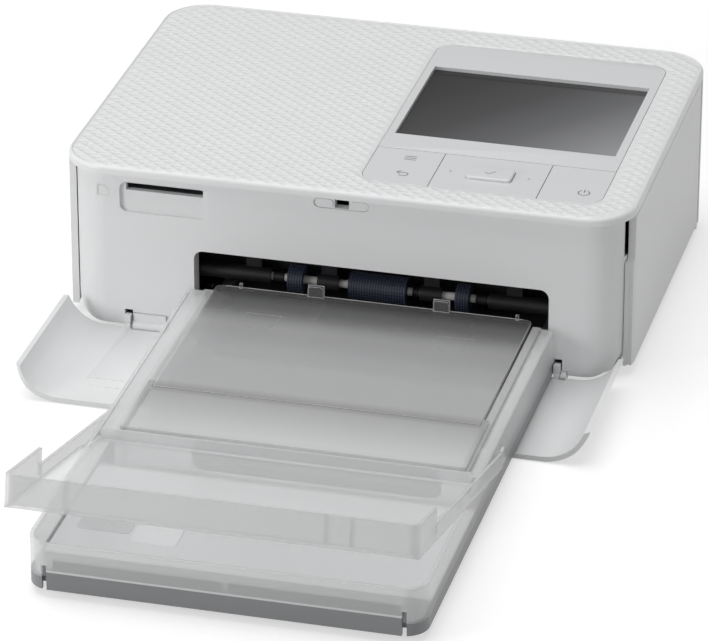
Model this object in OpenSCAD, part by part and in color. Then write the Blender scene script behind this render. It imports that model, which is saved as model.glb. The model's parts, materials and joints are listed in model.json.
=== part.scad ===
// Compact photo printer with its front cover down and its paper cassette in place.
// +X is the printer's right, the front faces -Y, +Z is up, and the table top is z = 0.
// Inside the modules y = 0 is the front lip of the top cover; placed() centres the whole part.

/* [Body] */
// Width of the body, side to side
body_w = 182.2; // [180:0.1:190]
// Depth of the body, front lip to back
body_d = 133; // [131:0.5:145]
// Height of the top surface above the table
body_h = 57.6; // [57.2:0.1:62]
// Radius of the upright corners, seen from above
corner_r = 15; // [13.5:0.5:16]
// Thickness of the moulded walls
wall = 2.2; // [1.8:0.1:2.4]
// Radius of the top cover's rounded rim
rim_r = 1.3; // [0.8:0.1:1.6]
// Height of the top cover's rim
rim_h = 2.7; // [2.6:0.1:3.2]
// Distance of the front fascia behind the rim
fascia_set = 2.5; // [2.4:0.1:3]
// Height of the underside above the table
foot_h = 2.2; // [2.2:0.1:3]
// Thickness of the base plate
base_t = 1.8; // [1.4:0.1:1.9]
// Gap under the side panels' lower edges, above the base plate's underside
skirt_lift = 1.1; // [0.8:0.1:1.4]
// Diameter of a rubber foot
foot_d = 12; // [8:0.5:14]

/* [Cassette slot and card slot] */
// Sideways place of the cassette's centre line
cass_x = 9.2; // [8.8:0.1:9.4]
// Sideways place of the cassette opening's middle
slot_x = 9.2; // [9:0.1:9.6]
// Width of the cassette opening
slot_w = 113.8; // [112.4:0.1:114.2]
// Height of the cassette opening's top edge above the table
slot_top = 30.6; // [29.6:0.1:31.2]
// Radius of the opening's upper corners
slot_r = 3; // [1:0.5:4]
// Depth of the flange around the opening
slot_flange = 3.4; // [1:0.2:3.6]
// Left end of the card recess
card_x = -71.6; // [-73:0.1:-70]
// Width of the card recess
card_w = 28.6; // [27.6:0.1:30]
// Distance of the card recess below the top cover's rim
card_drop = 3.2; // [2.8:0.1:4]
// Height of the card recess
card_h = 10.2; // [9:0.1:11]
// Depth of the card recess
card_deep = 1.1; // [0.5:0.1:1.4]
// Height of the slit that takes the card
card_slit = 2.8; // [2.4:0.1:3.2]
// Width of the slit that takes the card
card_slit_w = 25; // [24.4:0.1:25.6]
// Width of the pill-shaped cover catch
catch_w = 17.6; // [14:0.1:20]
// Height of the pill-shaped cover catch
catch_h = 3.3; // [3:0.1:3.6]

/* [Front cover] */
// Thickness of the front cover
cover_t = 1.6; // [1.4:0.1:1.8]
// Depth of the cover's wrap round the corners
cover_wrap = 10.4; // [8:0.1:10.6]
// Height of the cover's hinge axis above the table
cover_hinge_z = 2; // [2:0.05:2.2]
// Distance of the hinge axis behind the cover's face
cover_hinge_y = 1.7; // [1.6:0.05:1.8]
// Radius of the cover's hinge pin
cover_pin_r = 0.8; // [0.6:0.05:0.9]

/* [Ink door] */
// Radius of the ink door's hinge knuckle
door_knuckle_r = 1.5; // [1.4:0.05:1.6]
// Radius of the ink door's hinge pins
door_pin_r = 0.75; // [0.5:0.05:0.8]
// Height of the ink door's finger scoop
scoop_h = 13.6; // [10:0.2:16]
// Depth of the finger scoop from the door's front edge
scoop_d = 1.8; // [1:0.1:3]
// Depth of the rebate along the ink door's front edge
rebate = 0.9; // [0.5:0.1:1.5]

/* [Control panel] */
// Left edge of the control panel
panel_x = 3.2; // [3:0.1:5]
// Width of the control panel
panel_w = 76.3; // [76:0.1:78]
// Front edge of the control panel
panel_y = 11.4; // [11:0.1:12]
// Distance of the control panel from the body's back
panel_back = 13; // [11:0.1:14]
// Corner radius of the control panel
panel_r = 6; // [4:0.5:8]
// Depth of the panel's face below the top surface
panel_sink = 0.3; // [0.1:0.1:0.4]
// Width of the screen window
screen_w = 71.1; // [70:0.1:72]
// Depth of the screen window
screen_d = 53.9; // [53.3:0.1:54.5]
// Front edge of the screen window
screen_y = 47.6; // [47:0.1:50]
// Depth of the glass below the panel's face
glass_sink = 1.2; // [0.8:0.1:1.4]
// Depth of the row of keys, front to back
key_row = 25.2; // [24:0.1:26]
// Width of the left key
key_left_w = 21.9; // [20:0.1:23]
// Width of the right key
key_right_w = 20; // [18:0.1:21]
// Gap around the keys
key_gap = 0.2; // [0.2:0.05:0.3]
// Travel of the keys
key_travel = 0.5; // [0.3:0.1:0.5]
// Width of the raised centre key
ok_w = 14.2; // [12:0.1:16]
// Depth of the raised centre key
ok_d = 8.4; // [7:0.1:10]

/* [Paper cassette] */
// Width of the cassette in front of the printer
tray_w = 117.6; // [116.6:0.1:117.8]
// Width of the part of the cassette that goes in
tray_in_w = 107.8; // [107:0.1:108.2]
// Sideways shift of that part against the cassette's centre line
tray_in_shift = 0.9; // [0.6:0.1:1.1]
// Reach of the cassette in front of the lip
tray_out = 166; // [150:1:175]
// Reach of the cassette behind the lip
tray_in = 52; // [51:0.5:52.5]
// Height of the cassette's underside above the table
tray_z = 2.6; // [2.6:0.1:2.9]
// Height of the grey band along the cassette's foot
band_h = 3.9; // [3.4:0.1:4.2]
// Height of the grey bar across the cassette's front
bar_h = 6.4; // [5.6:0.1:7]
// Height of the tray's rim above the table
tray_rim_z = 17.6; // [17:0.1:17.8]
// Height of the inner lid's top above the table
lid_z = 20.3; // [20:0.1:20.6]
// Wall thickness of the cassette's parts
tray_t = 1.2; // [1:0.1:1.3]
// Corner radius of the cassette's front
tray_r = 7; // [5:0.5:8]
// Place of the inner lid's hinge in front of the lip
lid_hinge_out = 68; // [64:0.5:70]
// Reach of the fixed bridge in front of the lip
bridge_out = 96.5; // [94:0.5:98]
// Width of the inner lid
lid_w = 101.2; // [100:0.1:101.4]
// Sideways shift of the lid against the cassette's centre line
lid_shift = 1.5; // [1.1:0.1:1.6]
// Height of the lid above the rails beside it
lid_step = 1.7; // [1.4:0.1:1.8]

/* [Print stacker] */
// Tilt of the stacker above level
stack_tilt = 14; // [13.5:0.5:17]
// Place of the stacker's hinge in front of the lip
stack_out = 72; // [71:0.5:74]
// Height of the stacker's hinge above the table
stack_z = 12.6; // [12.4:0.1:13.4]
// Length from the hinge to the stacker's front face
stack_len = 110.4; // [100:0.1:115]
// Wall thickness of the stacker
stack_wall = 1.1; // [1:0.1:1.3]
// Height of the stacker's front rim
stack_rim = 9.9; // [8.5:0.1:11]
// Height of the stacker's side walls
stack_side = 4.9; // [4.6:0.1:6]
// Depth of the stacker's underside below its hinge
stack_drop = 3.9; // [3.6:0.1:4]
// Radius of the stacker's front corners
stack_r = 3; // [2:0.5:8]

/* [Print drive] */
// Height of the print path above the table
path_z = 28.5; // [28.3:0.1:28.7]
// Gear module: pitch diameter for each tooth
gear_m = 0.8; // [0.8:0.01:0.81]
// Face width of the gears
gear_t = 4; // [3:0.5:4]
// Radius of the platen roller
platen_r = 6.5; // [6:0.1:6.8]
// Radius of the capstan roller
capstan_r = 3.2; // [2.8:0.1:3.4]
// Radius of the pinch roller
pinch_r = 3.5; // [3:0.1:3.6]
// Radius of the pick rollers
pick_r = 4.3; // [4:0.1:4.4]
// Radius of the feed shaft
shaft_r = 1.3; // [1.1:0.1:1.5]
// Radial running clearance of shafts and pins
run = 0.06; // [0.03:0.01:0.09]
// Wall and play round the cartridge's ribbon rolls
roll_wall = 2.4; // [2:0.1:2.8]
// Room above the print head's arm, in which it lifts
head_room = 1.8; // [1.6:0.1:2.4]
// Thickness of the steel side frames
frame_t = 1.2; // [1:0.1:1.4]
// Distance between the steel side frames
frame_gap = 122; // [121:0.5:123]
// Width of the side frames' feet
frame_foot_w = 6; // [5:0.5:6]
// Distance of the side frames from the body's back
frame_end = 13; // [12:0.5:15]
// Radius of the drive motor
motor_r = 10; // [8:0.5:10.5]
// Length of the drive motor
motor_l = 14; // [10:0.5:16]

/* [Sockets and feet] */
// Distance of the feet from the body's sides and back
foot_in = 17; // [15:0.5:22]
// Sideways place of the power socket
jack_x = 44; // [40:1:48]
// Radius of the power socket's mouth
jack_r = 4; // [3.5:0.1:4.5]
// Sideways place of the data socket
usb_x = 62; // [58:1:64]
// Height of both sockets above the table
port_z = 15; // [14:0.5:16]
// Width of the slot behind which the print moves
rear_slot_w = 108; // [104:1:112]
// Height of the slot behind which the print moves
rear_slot_h = 6.4; // [5:0.1:7]

/* [Hidden] */
$fn = 64;

// Clearances
moving = 0.3;          // between bodies that move past each other
fit = 0.15;            // between fixed parts that slip together
cut = 1;               // how far a cutter runs past a face

// Heights of the body
base_z = foot_h;
floor_z = base_z + base_t;
rim_z = body_h - rim_h;
under_z = body_h - wall;
card_z = rim_z - card_drop - card_h;
panel_d = body_d - panel_back - panel_y;
flange_t = 1.4;        // flange of the control panel under the top cover
flange_z = under_z - flange_t;
lcd_t = 1.8;           // display panel under the flange
skirt_z = base_z + skirt_lift;
half_w = body_w / 2;

// The whole part runs from the stacker's front face to the body's back
stack_front = -stack_out - stack_len * cos(stack_tilt) - stack_drop * sin(stack_tilt);
shift_y = -(body_d + stack_front) / 2;

// Seams of the outer shell
side_y = cover_wrap + moving;
door_axis_x = half_w - door_knuckle_r;
door_axis_y = body_d - corner_r - 1.7;
rear_y = door_axis_y + door_knuckle_r + moving;
fascia_back = corner_r - 1.5;

// Cassette
slot_left = slot_x - slot_w / 2;
slot_right = slot_x + slot_w / 2;
tray_half = tray_w / 2;
tray_in_half = tray_in_w / 2;
pan_floor_z = tray_z + 1.8;
pan_top = tray_z + band_h;
bar_top = tray_z + bar_h;
tray_floor_z = pan_floor_z + 1.6;
bar_half = tray_half - tray_r + 0.5;
shoulder_y = fascia_set - 0.9;
in_x0 = cass_x + tray_in_shift - tray_in_half;
in_x1 = cass_x + tray_in_shift + tray_in_half;
lid_x0 = cass_x + lid_shift - lid_w / 2;
lid_x1 = cass_x + lid_shift + lid_w / 2;
rail_x0 = lid_x0 - moving;
rail_x1 = lid_x1 + moving;
rail_z = lid_z - lid_step;
lid_pin_r = 0.6;
lid_axis_z = lid_z - 1.4;
stack_pin_r = 1.2;
stack_half = tray_half + moving + stack_wall;

// Rollers, from front to back, as [y, z]
pick_c = [12, path_z - 8.3];
capstan_c = [40, path_z - capstan_r - 0.1];
pinch_c = [40, path_z + pinch_r + 0.1];
platen_c = [66, path_z - platen_r];

// The print head's arm lies under the display, and the ribbon rolls fill the height below it
arm_low = flange_z - lcd_t - head_room - frame_t;
roll_low = path_z + 3.1;
roll_shell = (arm_low - 0.8 - roll_low) / 2;
roll_r = roll_shell - roll_wall;
roll_z = roll_low + roll_shell;

// Gear train, teeth from the motor to the pick rollers
motor_n = 12;
drive_n = 24;
platen_n = 26;
path_n = 13;
capstan_n = 14;
feed_idle_n = 12;
feed_n = 15;
takeup_n = ceil(2 * (roll_z - platen_c[1]) / gear_m - 0.01) + 1 - drive_n;
gear_play = 0.16;      // backlash taken off each tooth

function pitch_r(n) = gear_m * n / 2;
function mesh_d(a, b) = pitch_r(a) + pitch_r(b);
function bearing(a, b) = atan2(b[1] - a[1], b[0] - a[0]);
function reach(a, b) = norm(b - a);
// Point at distances ra from a and rb from b, on the side given by turn (+1 or -1)
function joined(a, b, ra, rb, turn) =
  let (d = reach(a, b), t = bearing(a, b), c = (ra * ra + d * d - rb * rb) / (2 * ra * d))
  a + ra * [cos(t + turn * acos(c)), sin(t + turn * acos(c))];
// Phase of gear nb at b that meshes with gear na at a, which stands at phase pa
function meshed(a, b, pa, na, nb) =
  let (t = bearing(a, b)) t + 180 - (na / nb) * (pa - t) - 180 / nb;

drive_c = platen_c + [mesh_d(drive_n, platen_n), 0];
motor_c = drive_c + [mesh_d(motor_n, drive_n), 0];
takeup_c = [drive_c[0] - sqrt(pow(mesh_d(takeup_n, drive_n), 2) - pow(roll_z - drive_c[1], 2)), roll_z];
supply_c = [2 * platen_c[0] + 3 - takeup_c[0], roll_z];
head_pivot = [body_d - 32, arm_low - 3.2];
path_c = joined(platen_c, capstan_c, mesh_d(platen_n, path_n), mesh_d(path_n, capstan_n), 1);
feed_a_c = joined(capstan_c, (capstan_c + pick_c) / 2 + [0, -3],
                  mesh_d(capstan_n, feed_idle_n), mesh_d(feed_idle_n, feed_idle_n) / 2, 1);
feed_b_c = joined(feed_a_c, pick_c, mesh_d(feed_idle_n, feed_idle_n),
                  mesh_d(feed_idle_n, feed_n), 1);

platen_phase = 0;
drive_phase = meshed(platen_c, drive_c, platen_phase, platen_n, drive_n);
motor_phase = meshed(drive_c, motor_c, drive_phase, drive_n, motor_n);
takeup_phase = meshed(drive_c, takeup_c, drive_phase, drive_n, takeup_n);
path_phase = meshed(platen_c, path_c, platen_phase, platen_n, path_n);
capstan_phase = meshed(path_c, capstan_c, path_phase, path_n, capstan_n);
feed_a_phase = meshed(capstan_c, feed_a_c, capstan_phase, capstan_n, feed_idle_n);
feed_b_phase = meshed(feed_a_c, feed_b_c, feed_a_phase, feed_idle_n, feed_idle_n);
feed_phase = meshed(feed_b_c, pick_c, feed_b_phase, feed_idle_n, feed_n);

// Side frames
frame_left = cass_x - frame_gap / 2;
frame_right = cass_x + frame_gap / 2;
frame_front = 6.5;
frame_back = body_d - frame_end;
frame_top = arm_low + 0.3;
gear_x = frame_left - frame_t - 0.6 - gear_t;

// Colours
white = "#e9eaec";
panel_white = "#dfe1e4";
frosted = "#c8cccf";
pan_grey = "#84878a";
black = "#1c1d1f";
steel = "#b4b7ba";
navy = "#27304a";

// ---------- helpers ----------

// Flat rounded rectangle between two corners
module rounded(x0, x1, y0, y1, r) {
  translate([x0 + r, y0]) square([x1 - x0 - 2 * r, y1 - y0]);
  translate([x0, y0 + r]) square([x1 - x0, y1 - y0 - 2 * r]);
  for (x = [x0 + r, x1 - r], y = [y0 + r, y1 - r]) translate([x, y]) circle(r);
}

// Plan of the body, drawn in by a given amount on every side
module plan(inset) {
  rounded(-half_w + inset, half_w - inset, inset, body_d - inset, corner_r - inset);
}

// Band of the body's wall between two insets, kept between two y values
module band(outer, inner, y0, y1) {
  intersection() {
    difference() {
      plan(outer);
      plan(inner);
    }
    translate([-half_w - cut, y0]) square([body_w + 2 * cut, y1 - y0]);
  }
}

// Bar with square ends between two corners
module block(x0, x1, y0, y1, z0, z1) {
  translate([x0, y0, z0]) cube([x1 - x0, y1 - y0, z1 - z0]);
}

// Cylinder along X from x0 to x1 round the point c = [y, z]
module rod(x0, x1, c, r) {
  translate([x0, c[0], c[1]]) rotate([0, 90, 0]) cylinder(r = r, h = x1 - x0);
}

// Flat shape in the y-z plane, extruded along X from x0 to x1
module side_plate(x0, x1) {
  translate([x0, 0, 0]) rotate([90, 0, 90]) linear_extrude(x1 - x0) children();
}

// Flat shape in the x-z plane, extruded along Y from y0 to y1
module face_plate(y0, y1) {
  translate([0, y1, 0]) rotate([90, 0, 0]) linear_extrude(y1 - y0) children();
}

// Slab between two heights
module slab(z0, z1) {
  translate([0, 0, z0]) linear_extrude(z1 - z0) children();
}

// Plate with a rounded upper edge all round
module soft_plate(x0, x1, y0, y1, r, z0, z1, e) {
  slab(z0, z1 - e) rounded(x0, x1, y0, y1, r);
  slab(z0, z1) rounded(x0 + e, x1 - e, y0 + e, y1 - e, r - e);
  for (x = [x0 + e, x1 - e]) {
    translate([x, y0 + r, z1 - e]) rotate([-90, 0, 0]) cylinder(r = e, h = y1 - y0 - 2 * r, $fn = 32);
  }
  for (y = [y0 + e, y1 - e]) {
    translate([x0 + r, y, z1 - e]) rotate([0, 90, 0]) cylinder(r = e, h = x1 - x0 - 2 * r, $fn = 32);
  }
  for (x = [x0 + r, x1 - r], y = [y0 + r, y1 - r]) {
    translate([x, y, z1 - e]) rotate_extrude() translate([r - e, 0]) circle(e, $fn = 32);
  }
}

// One involute flank, from the root to the tip, as points for a gear of n teeth
function flank(n, side) =
  let (rp = pitch_r(n), rb = rp * cos(20), tip = rp + gear_m, root = rp - 1.25 * gear_m,
       half = 90 / n - gear_play / rp * 90 / PI / 2,
       inv = tan(20) * 180 / PI - 20)
  [for (r = [root, max(rb, root + 0.02), (max(rb, root) + rp) / 2, rp, (rp + tip) / 2, tip])
    let (a = r > rb ? acos(rb / r) : 0, w = half + inv - (r > rb ? tan(a) * 180 / PI - a : 0))
    [r, side * w]];

// Outline of a spur gear with n teeth
module gear_outline(n, phase) {
  rise = flank(n, -1);
  fall = flank(n, 1);
  last = len(rise) - 1;
  points = [for (k = [0 : n - 1])
    each concat([for (p = rise) p + [0, 360 * k / n]],
                [for (i = [0 : last]) fall[last - i] + [0, 360 * k / n]])];
  polygon([for (p = points) [p[0] * cos(p[1] + phase), p[0] * sin(p[1] + phase)]]);
}

// Spur gear round the point c, with a bore
module gear(n, c, phase, bore) {
  side_plate(gear_x, gear_x + gear_t) {
    difference() {
      translate(c) gear_outline(n, phase);
      translate(c) circle(bore);
      if (n > 20) for (k = [0 : 4]) {
        translate(c) rotate(phase + 72 * k) translate([pitch_r(n) * 0.58, 0]) circle(pitch_r(n) * 0.18);
      }
    }
  }
}

// Moves the finished part so that its origin is under its middle
module placed() {
  translate([0, shift_y, 0]) children();
}

// Turns the front cover from closed to open round its hinge
module opened() {
  translate([0, cover_hinge_y, cover_hinge_z]) rotate([90, 0, 0])
    translate([0, -cover_hinge_y, -cover_hinge_z]) children();
}

// ---------- outer shell ----------

ear_in = 68.4;
ear_out = 70.3;
block_in = 57;
block_out = 67.6;
lug_out = 72.2;
lug_r = cover_hinge_y - 0.1;
slim_r = cover_pin_r + 0.5;
cover_axis = [cover_hinge_y, cover_hinge_z];

module hinge_lug(x0, x1, r, top) {
  difference() {
    union() {
      rod(x0, x1, cover_axis, r);
      block(x0, x1, cover_hinge_y, fascia_set + wall + 1, cover_hinge_z - r, top);
    }
    rod(x0 - cut, x1 + cut, cover_axis, cover_pin_r);
  }
}

module base_pan() {
  color(white) placed() {
    difference() {
      slab(base_z, floor_z) plan(fascia_set + wall);
      for (x = [-38, 38], y = [44, body_d - 55]) slab(base_z - cut, floor_z + cut) {
        for (k = [-2 : 2]) rounded(x - 14, x + 14, y + 5 * k, y + 5 * k + 2.4, 1);
      }
      for (p = foot_places) translate([p[0], p[1], base_z - cut]) cylinder(d = foot_d - 4, h = cut + 0.9);
    }
    // upright rim inside the side and rear covers, open beside the sockets
    difference() {
      slab(floor_z, floor_z + 5) intersection() {
        band(fascia_set + wall, fascia_set + wall + 1.4, corner_r, body_d);
        translate([-half_w, corner_r]) square([body_w, body_d]);
      }
      block(jack_x - 6, usb_x + 6, body_d - 20, body_d, floor_z, body_h);
    }
    translate([door_axis_x, door_axis_y, base_z]) difference() {
      union() {
        cylinder(r = door_knuckle_r, h = skirt_lift);
        translate([-6, -door_knuckle_r, 0]) cube([6, 2 * door_knuckle_r, skirt_lift]);
      }
      translate([0, 0, -cut]) cylinder(r = door_pin_r, h = skirt_lift + 2 * cut);
    }
    hinge_lug(-block_out, -block_in, lug_r, floor_z + 2.4);
    hinge_lug(ear_out + moving, lug_out, slim_r, floor_z - 0.6);
  }
}

foot_places = [for (x = [foot_in - half_w, half_w - foot_in], y = [foot_in + 3, body_d - foot_in]) [x, y]];

module rubber_feet() {
  color(black) placed() for (p = foot_places) translate([p[0], p[1], 0]) {
    cylinder(d1 = foot_d - 1, d2 = foot_d, h = 0.6);
    translate([0, 0, 0.6]) cylinder(d = foot_d, h = foot_h - 0.6);
    cylinder(d = foot_d - 4, h = foot_h + 0.9);
  }
}

// Height of the slit's centre line
slit_z = card_z + card_h - card_slit - 0.2;
catch_z = rim_z - 1.2 - catch_h;

module slot_outline(grow) {
  x0 = slot_left - grow;
  x1 = slot_right + grow;
  r = slot_r + grow;
  translate([x0, 0]) square([x1 - x0, slot_top + grow - r]);
  translate([x0 + r, 0]) square([x1 - x0 - 2 * r, slot_top + grow]);
  for (x = [x0 + r, x1 - r]) translate([x, slot_top + grow - r]) circle(r);
}

module front_fascia() {
  face_y = fascia_set;
  color(white) placed() difference() {
    union() {
      intersection() {
        slab(base_z, under_z) band(fascia_set, fascia_set + wall, 0, fascia_back);
        face_plate(-cut, fascia_back + cut)
          rounded(-half_w + fascia_set, half_w - fascia_set, base_z, under_z + 20, 10);
      }
      face_plate(face_y + 0.1, face_y + wall + slot_flange) intersection() {
        slot_outline(1.6);
        translate([-half_w, floor_z]) square([body_w, body_h]);
      }
      face_plate(face_y + wall, face_y + wall + 0.8)
        translate([card_x, card_z - 1]) square([card_w, card_h + 2]);
    }
    face_plate(face_y - cut, face_y + wall + slot_flange + cut) slot_outline(0);
    // card recess, with a slit for the card
    face_plate(face_y - cut, face_y + card_deep)
      rounded(card_x, card_x + card_w, card_z, card_z + card_h, 2.4);
    face_plate(face_y - cut, face_y + wall + 2) translate([card_x + 1.9, slit_z])
      square([card_slit_w, card_slit]);
    // gap behind the ink door's finger scoop
    block(half_w - fascia_set - wall - cut, half_w, side_y, fascia_back + cut, rim_z - moving - scoop_h, rim_z);
    // seat of the cover catch
    face_plate(face_y - cut, face_y + wall + cut)
      rounded(-catch_w / 2, catch_w / 2, catch_z, catch_z + catch_h, catch_h / 2 - 0.01);
    // room for the hinge blocks and the cover's stops
    block(-block_out - 0.2, -block_in + 0.2, -cut, face_y + wall + cut, 0, floor_z + 2.6);
    block(ear_out + 0.1, lug_out + 0.2, -cut, face_y + wall + cut, 0, floor_z - 0.4);
    for (s = [-1, 1]) {
      block(min(s * (ear_in - 0.4), s * (ear_out + 0.4)), max(s * (ear_in - 0.4), s * (ear_out + 0.4)),
            -cut, face_y + wall + cut, 0, cover_hinge_z + 5.4);
    }
  }
}

module cover_catch() {
  color(panel_white) placed() difference() {
    union() {
      face_plate(fascia_set + 0.5, fascia_set + wall)
        rounded(-catch_w / 2, catch_w / 2, catch_z, catch_z + catch_h, catch_h / 2 - 0.01);
      face_plate(fascia_set + wall, fascia_set + wall + 1.2)
        translate([-catch_w / 2 - 1.5, catch_z - 0.6]) square([catch_w + 3, catch_h + 1.2]);
      for (s = [-1, 1]) face_plate(fascia_set + 0.2, fascia_set + wall)
        rounded(s * 5.6 - 2.9, s * 5.6 + 2.9, catch_z + 0.3, catch_z + catch_h - 0.3, catch_h / 2 - 0.4);
    }
    face_plate(0, fascia_set + wall + 3) translate([-2.2, catch_z + 0.2]) square([4.6, catch_h - 0.4]);
  }
}

module top_cover() {
  color(white) placed() difference() {
    soft_plate(-half_w, half_w, 0, body_d, corner_r, rim_z, body_h, rim_r);
    slab(rim_z - cut, under_z) plan(wall);
    slab(rim_z - cut, body_h + cut)
      rounded(panel_x - fit, panel_x + panel_w + fit, panel_y - fit, panel_y + panel_d + fit, panel_r + fit);
    // upper bearing of the ink door's hinge
    translate([door_axis_x, door_axis_y, rim_z - cut]) cylinder(r = door_pin_r, h = cut + 1.5);
  }
}

panel_top = body_h - panel_sink;
key_top = panel_top;
key_t = 1.6;
ledge_t = 0.8;
screen_x = panel_x + (panel_w - screen_w) / 2;
key_x1 = panel_x + key_left_w;
key_x2 = panel_x + panel_w - key_right_w;
ok_x = (key_x1 + key_x2) / 2 - ok_w / 2;
ok_y = panel_y + 8.6;
board_z = under_z - 5.8;
plunger_r = 1.6;
menu_spots = [[panel_x + key_left_w * 0.55, panel_y + 7], [panel_x + key_left_w * 0.55, panel_y + 19]];
arrow_spots = [[key_x1 + 4.5, panel_y + 12.8], [key_x2 - 4.5, panel_y + 12.8]];
ok_spot = [ok_x + ok_w / 2, ok_y + ok_d / 2];
power_spot = [key_x2 + key_right_w * 0.6, panel_y + 10];
all_spots = concat(menu_spots, arrow_spots, [ok_spot, power_spot]);
post_spots = [for (x = [panel_x + 3, panel_x + panel_w - 3], y = [panel_y + 3.4, panel_y + 21]) [x, y]];

module control_panel() {
  color(panel_white) placed() {
    difference() {
      union() {
        slab(under_z, panel_top)
          rounded(panel_x, panel_x + panel_w, panel_y, panel_y + panel_d, panel_r);
        slab(flange_z, under_z)
          rounded(panel_x - 2, panel_x + panel_w + 2, panel_y - 2, panel_y + panel_d + 2, panel_r + 2);
      }
      slab(flange_z - cut, panel_top + cut)
        translate([screen_x, screen_y]) square([screen_w, screen_d]);
      slab(flange_z + ledge_t, panel_top + cut)
        translate([panel_x - cut, panel_y - cut]) square([panel_w + 2 * cut, key_row + cut]);
      for (p = all_spots) translate([p[0], p[1], flange_z - cut]) cylinder(r = plunger_r + moving, h = 4);
    }
    for (p = post_spots) translate([p[0], p[1], board_z]) cylinder(r = 1.5, h = flange_z - board_z);
  }
}

module lcd_module() {
  color(black) placed() {
    slab(flange_z - lcd_t, flange_z)
      translate([screen_x - 2.4, screen_y - 3]) square([screen_w + 4.8, screen_d + 8]);
    slab(flange_z, panel_top - glass_sink - 1.2)
      translate([screen_x + 0.4, screen_y + 0.4]) square([screen_w - 0.8, screen_d - 0.8]);
  }
}

module lcd_glass() {
  color("#3c3f43") placed() slab(panel_top - glass_sink - 1.2, panel_top - glass_sink)
    translate([screen_x + 0.1, screen_y + 0.1]) square([screen_w - 0.2, screen_d - 0.2]);
}

module key_board() {
  color("#2f6b45") placed() {
    slab(board_z - 1.4, board_z)
      translate([panel_x + 1, panel_y + 1]) square([panel_w - 2, key_row - 2]);
  }
  color(steel) placed() for (p = all_spots) {
    translate([p[0], p[1], board_z]) cylinder(r = 2, h = 0.6);
  }
}

// Plate of a key, shaped by its children, with a plunger over each switch
module key_plate(spots, top) {
  slab(key_top - key_t, top) children();
  for (p = spots) translate([p[0], p[1], board_z + 0.6 + key_travel + 0.1])
    cylinder(r = plunger_r, h = key_top - key_t - board_z - 0.6 - key_travel);
}

module key_cell(x0, x1) {
  intersection() {
    rounded(panel_x, panel_x + panel_w, panel_y, panel_y + panel_d, panel_r);
    translate([x0, panel_y]) square([x1 - x0, key_row - key_gap]);
  }
}

module menu_key() {
  color(panel_white) placed() key_plate(menu_spots, key_top)
    key_cell(panel_x, key_x1 - key_gap / 2);
}

module arrow_key() {
  color(panel_white) placed() key_plate(arrow_spots, key_top) difference() {
    key_cell(key_x1 + key_gap / 2, key_x2 - key_gap / 2);
    rounded(ok_x - key_gap, ok_x + ok_w + key_gap, ok_y - key_gap, ok_y + ok_d + key_gap, 1.4);
  }
}

module ok_key() {
  color(panel_white) placed() {
    key_plate([ok_spot], key_top) rounded(ok_x, ok_x + ok_w, ok_y, ok_y + ok_d, 1.2);
    soft_plate(ok_x, ok_x + ok_w, ok_y, ok_y + ok_d, 1.2, key_top - key_t, key_top + 0.9, 0.5);
  }
}

module power_key() {
  color(panel_white) placed() key_plate([power_spot], key_top)
    key_cell(key_x2 + key_gap / 2, panel_x + panel_w);
}

module left_side_panel() {
  color(white) placed() {
    slab(skirt_z, rim_z) intersection() {
      band(0, wall, side_y, rear_y - 0.01);
      translate([-half_w - cut, 0]) square([half_w, body_d]);
    }
    // ribs that seat the panel on the base
    for (y = [30, body_d / 2, rear_y - 18])
      block(-half_w + wall - 0.1, -half_w + fascia_set + wall, y, y + 2, floor_z + 5, rim_z - 6);
  }
}

vent_n = 14;

module rear_cover() {
  color(white) placed() difference() {
    union() {
      slab(skirt_z, rim_z) band(0, wall, rear_y, body_d);
      slab(rim_z - 3, under_z) intersection() {
        band(wall + 0.2, wall + 1.8, body_d - 30, body_d);
        translate([-half_w, body_d - corner_r]) square([body_w, corner_r]);
      }
      slab(rim_z - 3, rim_z) band(wall - 0.1, wall + 1.8, body_d - 6, body_d);
    }
    // slot where the print passes out and back
    face_plate(body_d - wall - 3, body_d + cut)
      rounded(cass_x - rear_slot_w / 2, cass_x + rear_slot_w / 2,
              path_z - rear_slot_h / 2, path_z + rear_slot_h / 2, 1.5);
    // vents
    for (k = [0 : vent_n - 1]) face_plate(body_d - wall - cut, body_d + cut) {
      rounded(4 + 5 * k, 6.2 + 5 * k, rim_z - 16, rim_z - 6, 1);
      rounded(-6.2 - 5 * k, -4 - 5 * k, skirt_z + 5, skirt_z + 15, 1);
    }
    // power and data sockets
    face_plate(body_d - wall - cut, body_d + cut) {
      translate([jack_x, port_z]) circle(jack_r);
      rounded(usb_x - 4.7, usb_x + 4.7, port_z - 1.8, port_z + 1.8, 1.6);
    }
  }
}

// ---------- front cover ----------

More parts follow.
